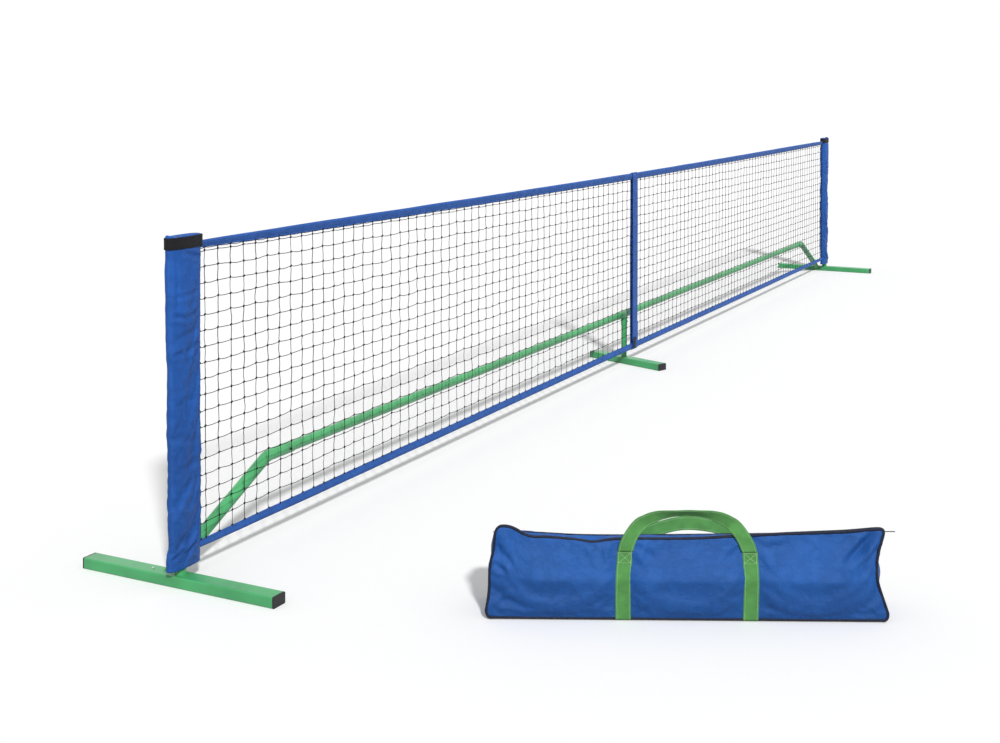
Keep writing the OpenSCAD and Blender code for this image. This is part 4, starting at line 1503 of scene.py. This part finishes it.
class COURTNET_OT_handles(bpy.types.Operator):
    """Shapes the two carrying handles"""

    bl_idname = "court_net.handles"
    bl_label = "Handles"

    # middle lines in millimetres: along the bag, out of its wall, up from the handle's foot
    FRONT = ((-149.5, 0, 0), (-149.3, 0, 6), (-146, 0, 18), (-139, 0, 33), (-130, 0, 49),
             (-117, 1, 65), (-98, 2, 77), (-70, 3, 87), (-35, 4, 91), (0, 4, 93), (30, 4, 92),
             (60, 3, 89), (86, 2, 81), (106, 1, 71), (122, 0, 56), (134, 0, 38), (144, 0, 21),
             (150.8, 0, 6), (151, 0, 0))
    BACK = ((-156, 0, 0), (-155.5, 0, 5), (-147, 0, 16), (-128, 0, 30), (-100, 0, 44),
            (-75, 0, 54), (-48, 1, 63), (-17, 2, 72), (12, 2, 76), (41, 2, 75), (70, 1, 71),
            (100, 0, 65), (124, 0, 54), (142, 0, 34), (151, 0, 17), (156, 0, 5), (156.5, 0, 0))

    def execute(self, context):
        self.handle("front", -1, self.FRONT, 1.0, (0, -0.75, 0.66))
        self.handle("back", 1, self.BACK, 0.25, (0, 0.6, 0.8))
        return {"FINISHED"}

    def handle(self, name, way, line, twist, leaning):
        low, high = bag_span(f"handle_{name}")
        width = 0.034
        path = smooth_path(np.array(line, float) * MM, 120)
        for _ in range(24):
            path[1:-1] = (path[:-2] + path[1:-1] * 2 + path[2:]) / 4
        path[:, 1] = (low[1] + high[1]) / 2 - way * path[:, 1]
        shape = BagShape()
        stand = shape.lean(shape.web, low[2], way) - 0.0002
        path[:, 1] += way * stand * np.exp(-((path[:, 2] / 0.045) ** 2))
        path[:, 2] += low[2]
        foot = 1 - ease(path[:, 2] - low[2], 0.001, 0.016)
        tangent = upright(np.gradient(path, axis=0), foot)
        plain = np.cross(tangent, (0, 1.0, 0))
        middle = 1 - np.abs(path[:, 0]) / 0.125
        turn = twist * (0.35 * ease(middle, 0.08, 0.20) + 0.65 * ease(middle, 0.15, 0.85))
        across = plain * (1 - turn)[:, None] + np.array(leaning) * turn[:, None]
        across -= tangent * np.sum(across * tangent, 1)[:, None]
        across = unit(across)
        out = np.cross(tangent, across)
        across *= (1 + 0.11 * (1 - ease(path[:, 2] - low[2], 0, 0.05)))[:, None]
        made = strap(f"carry_handle_{name}", to_bag(path), turned(across), turned(out),
                     width, WEB, 8)
        place(made, f"handle_{name}", "green_webbing", f"handle_{name}")
        rows = [to_bag(path + across * e * (width / 2 - SEAM) + out * f * (WEB / 2 + 0.0002))
                for e in (-1, 1) for f in (-1, 1)]
        sew(f"handle_stitches_{name}", [smooth_path(r, 200) for r in rows],
            settings("bag").stitch, 0.0011, 0.0034, f"handle_{name}", "green_thread", 0.15)


# ---- stage ----


class COURTNET_OT_stage(bpy.types.Operator):
    """Pale floor, soft light and the camera"""

    bl_idname = "court_net.stage"
    bl_label = "Stage"

    def execute(self, context):
        s = settings("stage")
        self.floor()
        self.light(s)
        eye = bpy.data.objects.new("Camera", bpy.data.cameras.new("Camera"))
        eye.location = s.eye
        eye.rotation_euler = (math.radians(90) - s.pitch, 0, s.turn - math.radians(90))
        eye.data.lens, eye.data.sensor_width, eye.data.shift_y = s.lens, 36, s.shift
        eye.data.clip_end = 200
        context.scene.collection.objects.link(eye)
        context.scene.camera = eye
        context.scene.view_settings.view_transform = "Standard"
        return {"FINISHED"}

    def seen(self, tree):
        """1 for rays that show the stage itself, 0 for light that falls on the object."""
        ray = tree.add("ShaderNodeLightPath", out="Is Camera Ray")
        shine = tree.of(ray, "Is Glossy Ray")
        through = tree.of(ray, "Is Transmission Ray")
        return (ray + shine + through).least(1)

    def floor(self):
        """A pale floor that fades to plain white far from the object."""
        middle, rings, n = 3.2, (9, 14, 22, 60), 48
        points = [(middle + r * math.cos(a), r * math.sin(a), 0)
                  for r in rings for a in np.arange(n) * TAU / n]
        points.append((middle, 0, 0))
        faces = [(len(points) - 1, k, (k + 1) % n) for k in range(n)]
        for start in range(0, n * (len(rings) - 1), n):
            faces += [(start + k, start + n + k, start + n + (k + 1) % n, start + (k + 1) % n)
                      for k in range(n)]
        made = mesh_object("floor", points, faces, smooth=False)
        m = Finish("Pale floor", roughness=0.9, specular_ior_level=0.0)
        seen = self.seen(m)
        m.set(base_color=m.blend(seen, (0.28, 0.28, 0.28), (1.0, 1.0, 1.0)))
        x, y, _ = m.parts(m.where())
        away = ((x - middle) * (x - middle) + y * y).power(0.5)
        glow = m.add("ShaderNodeEmission", inputs={"Color": (1, 1, 1, 1), "Strength": 1.05})
        share = seen * (0.06 + m.ramp(away, 5.5, 9.0) * 0.94)
        mix = m.add("ShaderNodeMixShader", inputs={0: share}, out=None)
        m.tree.links.new(m.shader.outputs[0], mix.inputs[1])
        m.tree.links.new(glow.socket, mix.inputs[2])
        m.tree.links.new(mix.outputs[0], m.tree.nodes["Material Output"].inputs[0])
        made.data.materials.append(m.material)

    def light(self, s):
        world = bpy.data.worlds.new("Pale room")
        bpy.context.scene.world = world
        world.use_nodes = True
        tree = Tree(world.node_tree)
        sky = world.node_tree.nodes["Background"]
        sky.inputs["Color"].default_value = (1, 1, 1, 1)
        strength = s.sky + self.seen(tree) * (1 - s.sky)
        world.node_tree.links.new(strength.socket, sky.inputs["Strength"])
        lamp = bpy.data.lights.new("High soft light", "SUN")
        sun = bpy.data.objects.new(lamp.name, lamp)
        sun.data.energy, sun.data.angle = s.sun, math.radians(4.5)
        sun.rotation_euler = Vector((1.0, 0.9, -1.0)).to_track_quat("-Z", "Y").to_euler()
        bpy.context.scene.collection.objects.link(sun)


# ---- panel and start ----


class COURTNET_PT_panel(bpy.types.Panel):
    """Lists the court net's pieces"""

    bl_idname = "COURTNET_PT_panel"
    bl_label = "Court Net"
    bl_space_type = "VIEW_3D"
    bl_region_type = "UI"
    bl_category = "Court Net"

    def draw(self, context):
        for kind in GROUPS:
            box = self.layout.box()
            box.label(text=kind.title())
            for name in GROUPS[kind].__annotations__:
                box.prop(settings(kind), name)
        for operator in OPERATORS:
            self.layout.operator(operator.bl_idname)


GROUPS = {
    "colours": CourtNetColours,
    "net": CourtNetNet,
    "mesh": CourtNetMesh,
    "stand": CourtNetStand,
    "bag": CourtNetBag,
    "stage": CourtNetStage,
}
OPERATORS = (
    COURTNET_OT_stage,
    COURTNET_OT_stand,
    COURTNET_OT_mesh,
    COURTNET_OT_tapes,
    COURTNET_OT_strap,
    COURTNET_OT_sleeves,
    COURTNET_OT_bag,
    COURTNET_OT_zip,
    COURTNET_OT_webbing,
    COURTNET_OT_handles,
)


def register():
    for kind, group in GROUPS.items():
        bpy.utils.register_class(group)
        setattr(bpy.types.Scene, "court_net_" + kind, PointerProperty(type=group))
    for made in (*OPERATORS, COURTNET_PT_panel):
        bpy.utils.register_class(made)


def unregister():
    for made in (COURTNET_PT_panel, *reversed(OPERATORS)):
        bpy.utils.unregister_class(made)
    for kind, group in GROUPS.items():
        delattr(bpy.types.Scene, "court_net_" + kind)
        bpy.utils.unregister_class(group)


def main():
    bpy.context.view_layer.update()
    register()
    for operator in OPERATORS:
        group, name = operator.bl_idname.split(".")
        getattr(getattr(bpy.ops, group), name)()


if __name__ == "__main__":
    main()
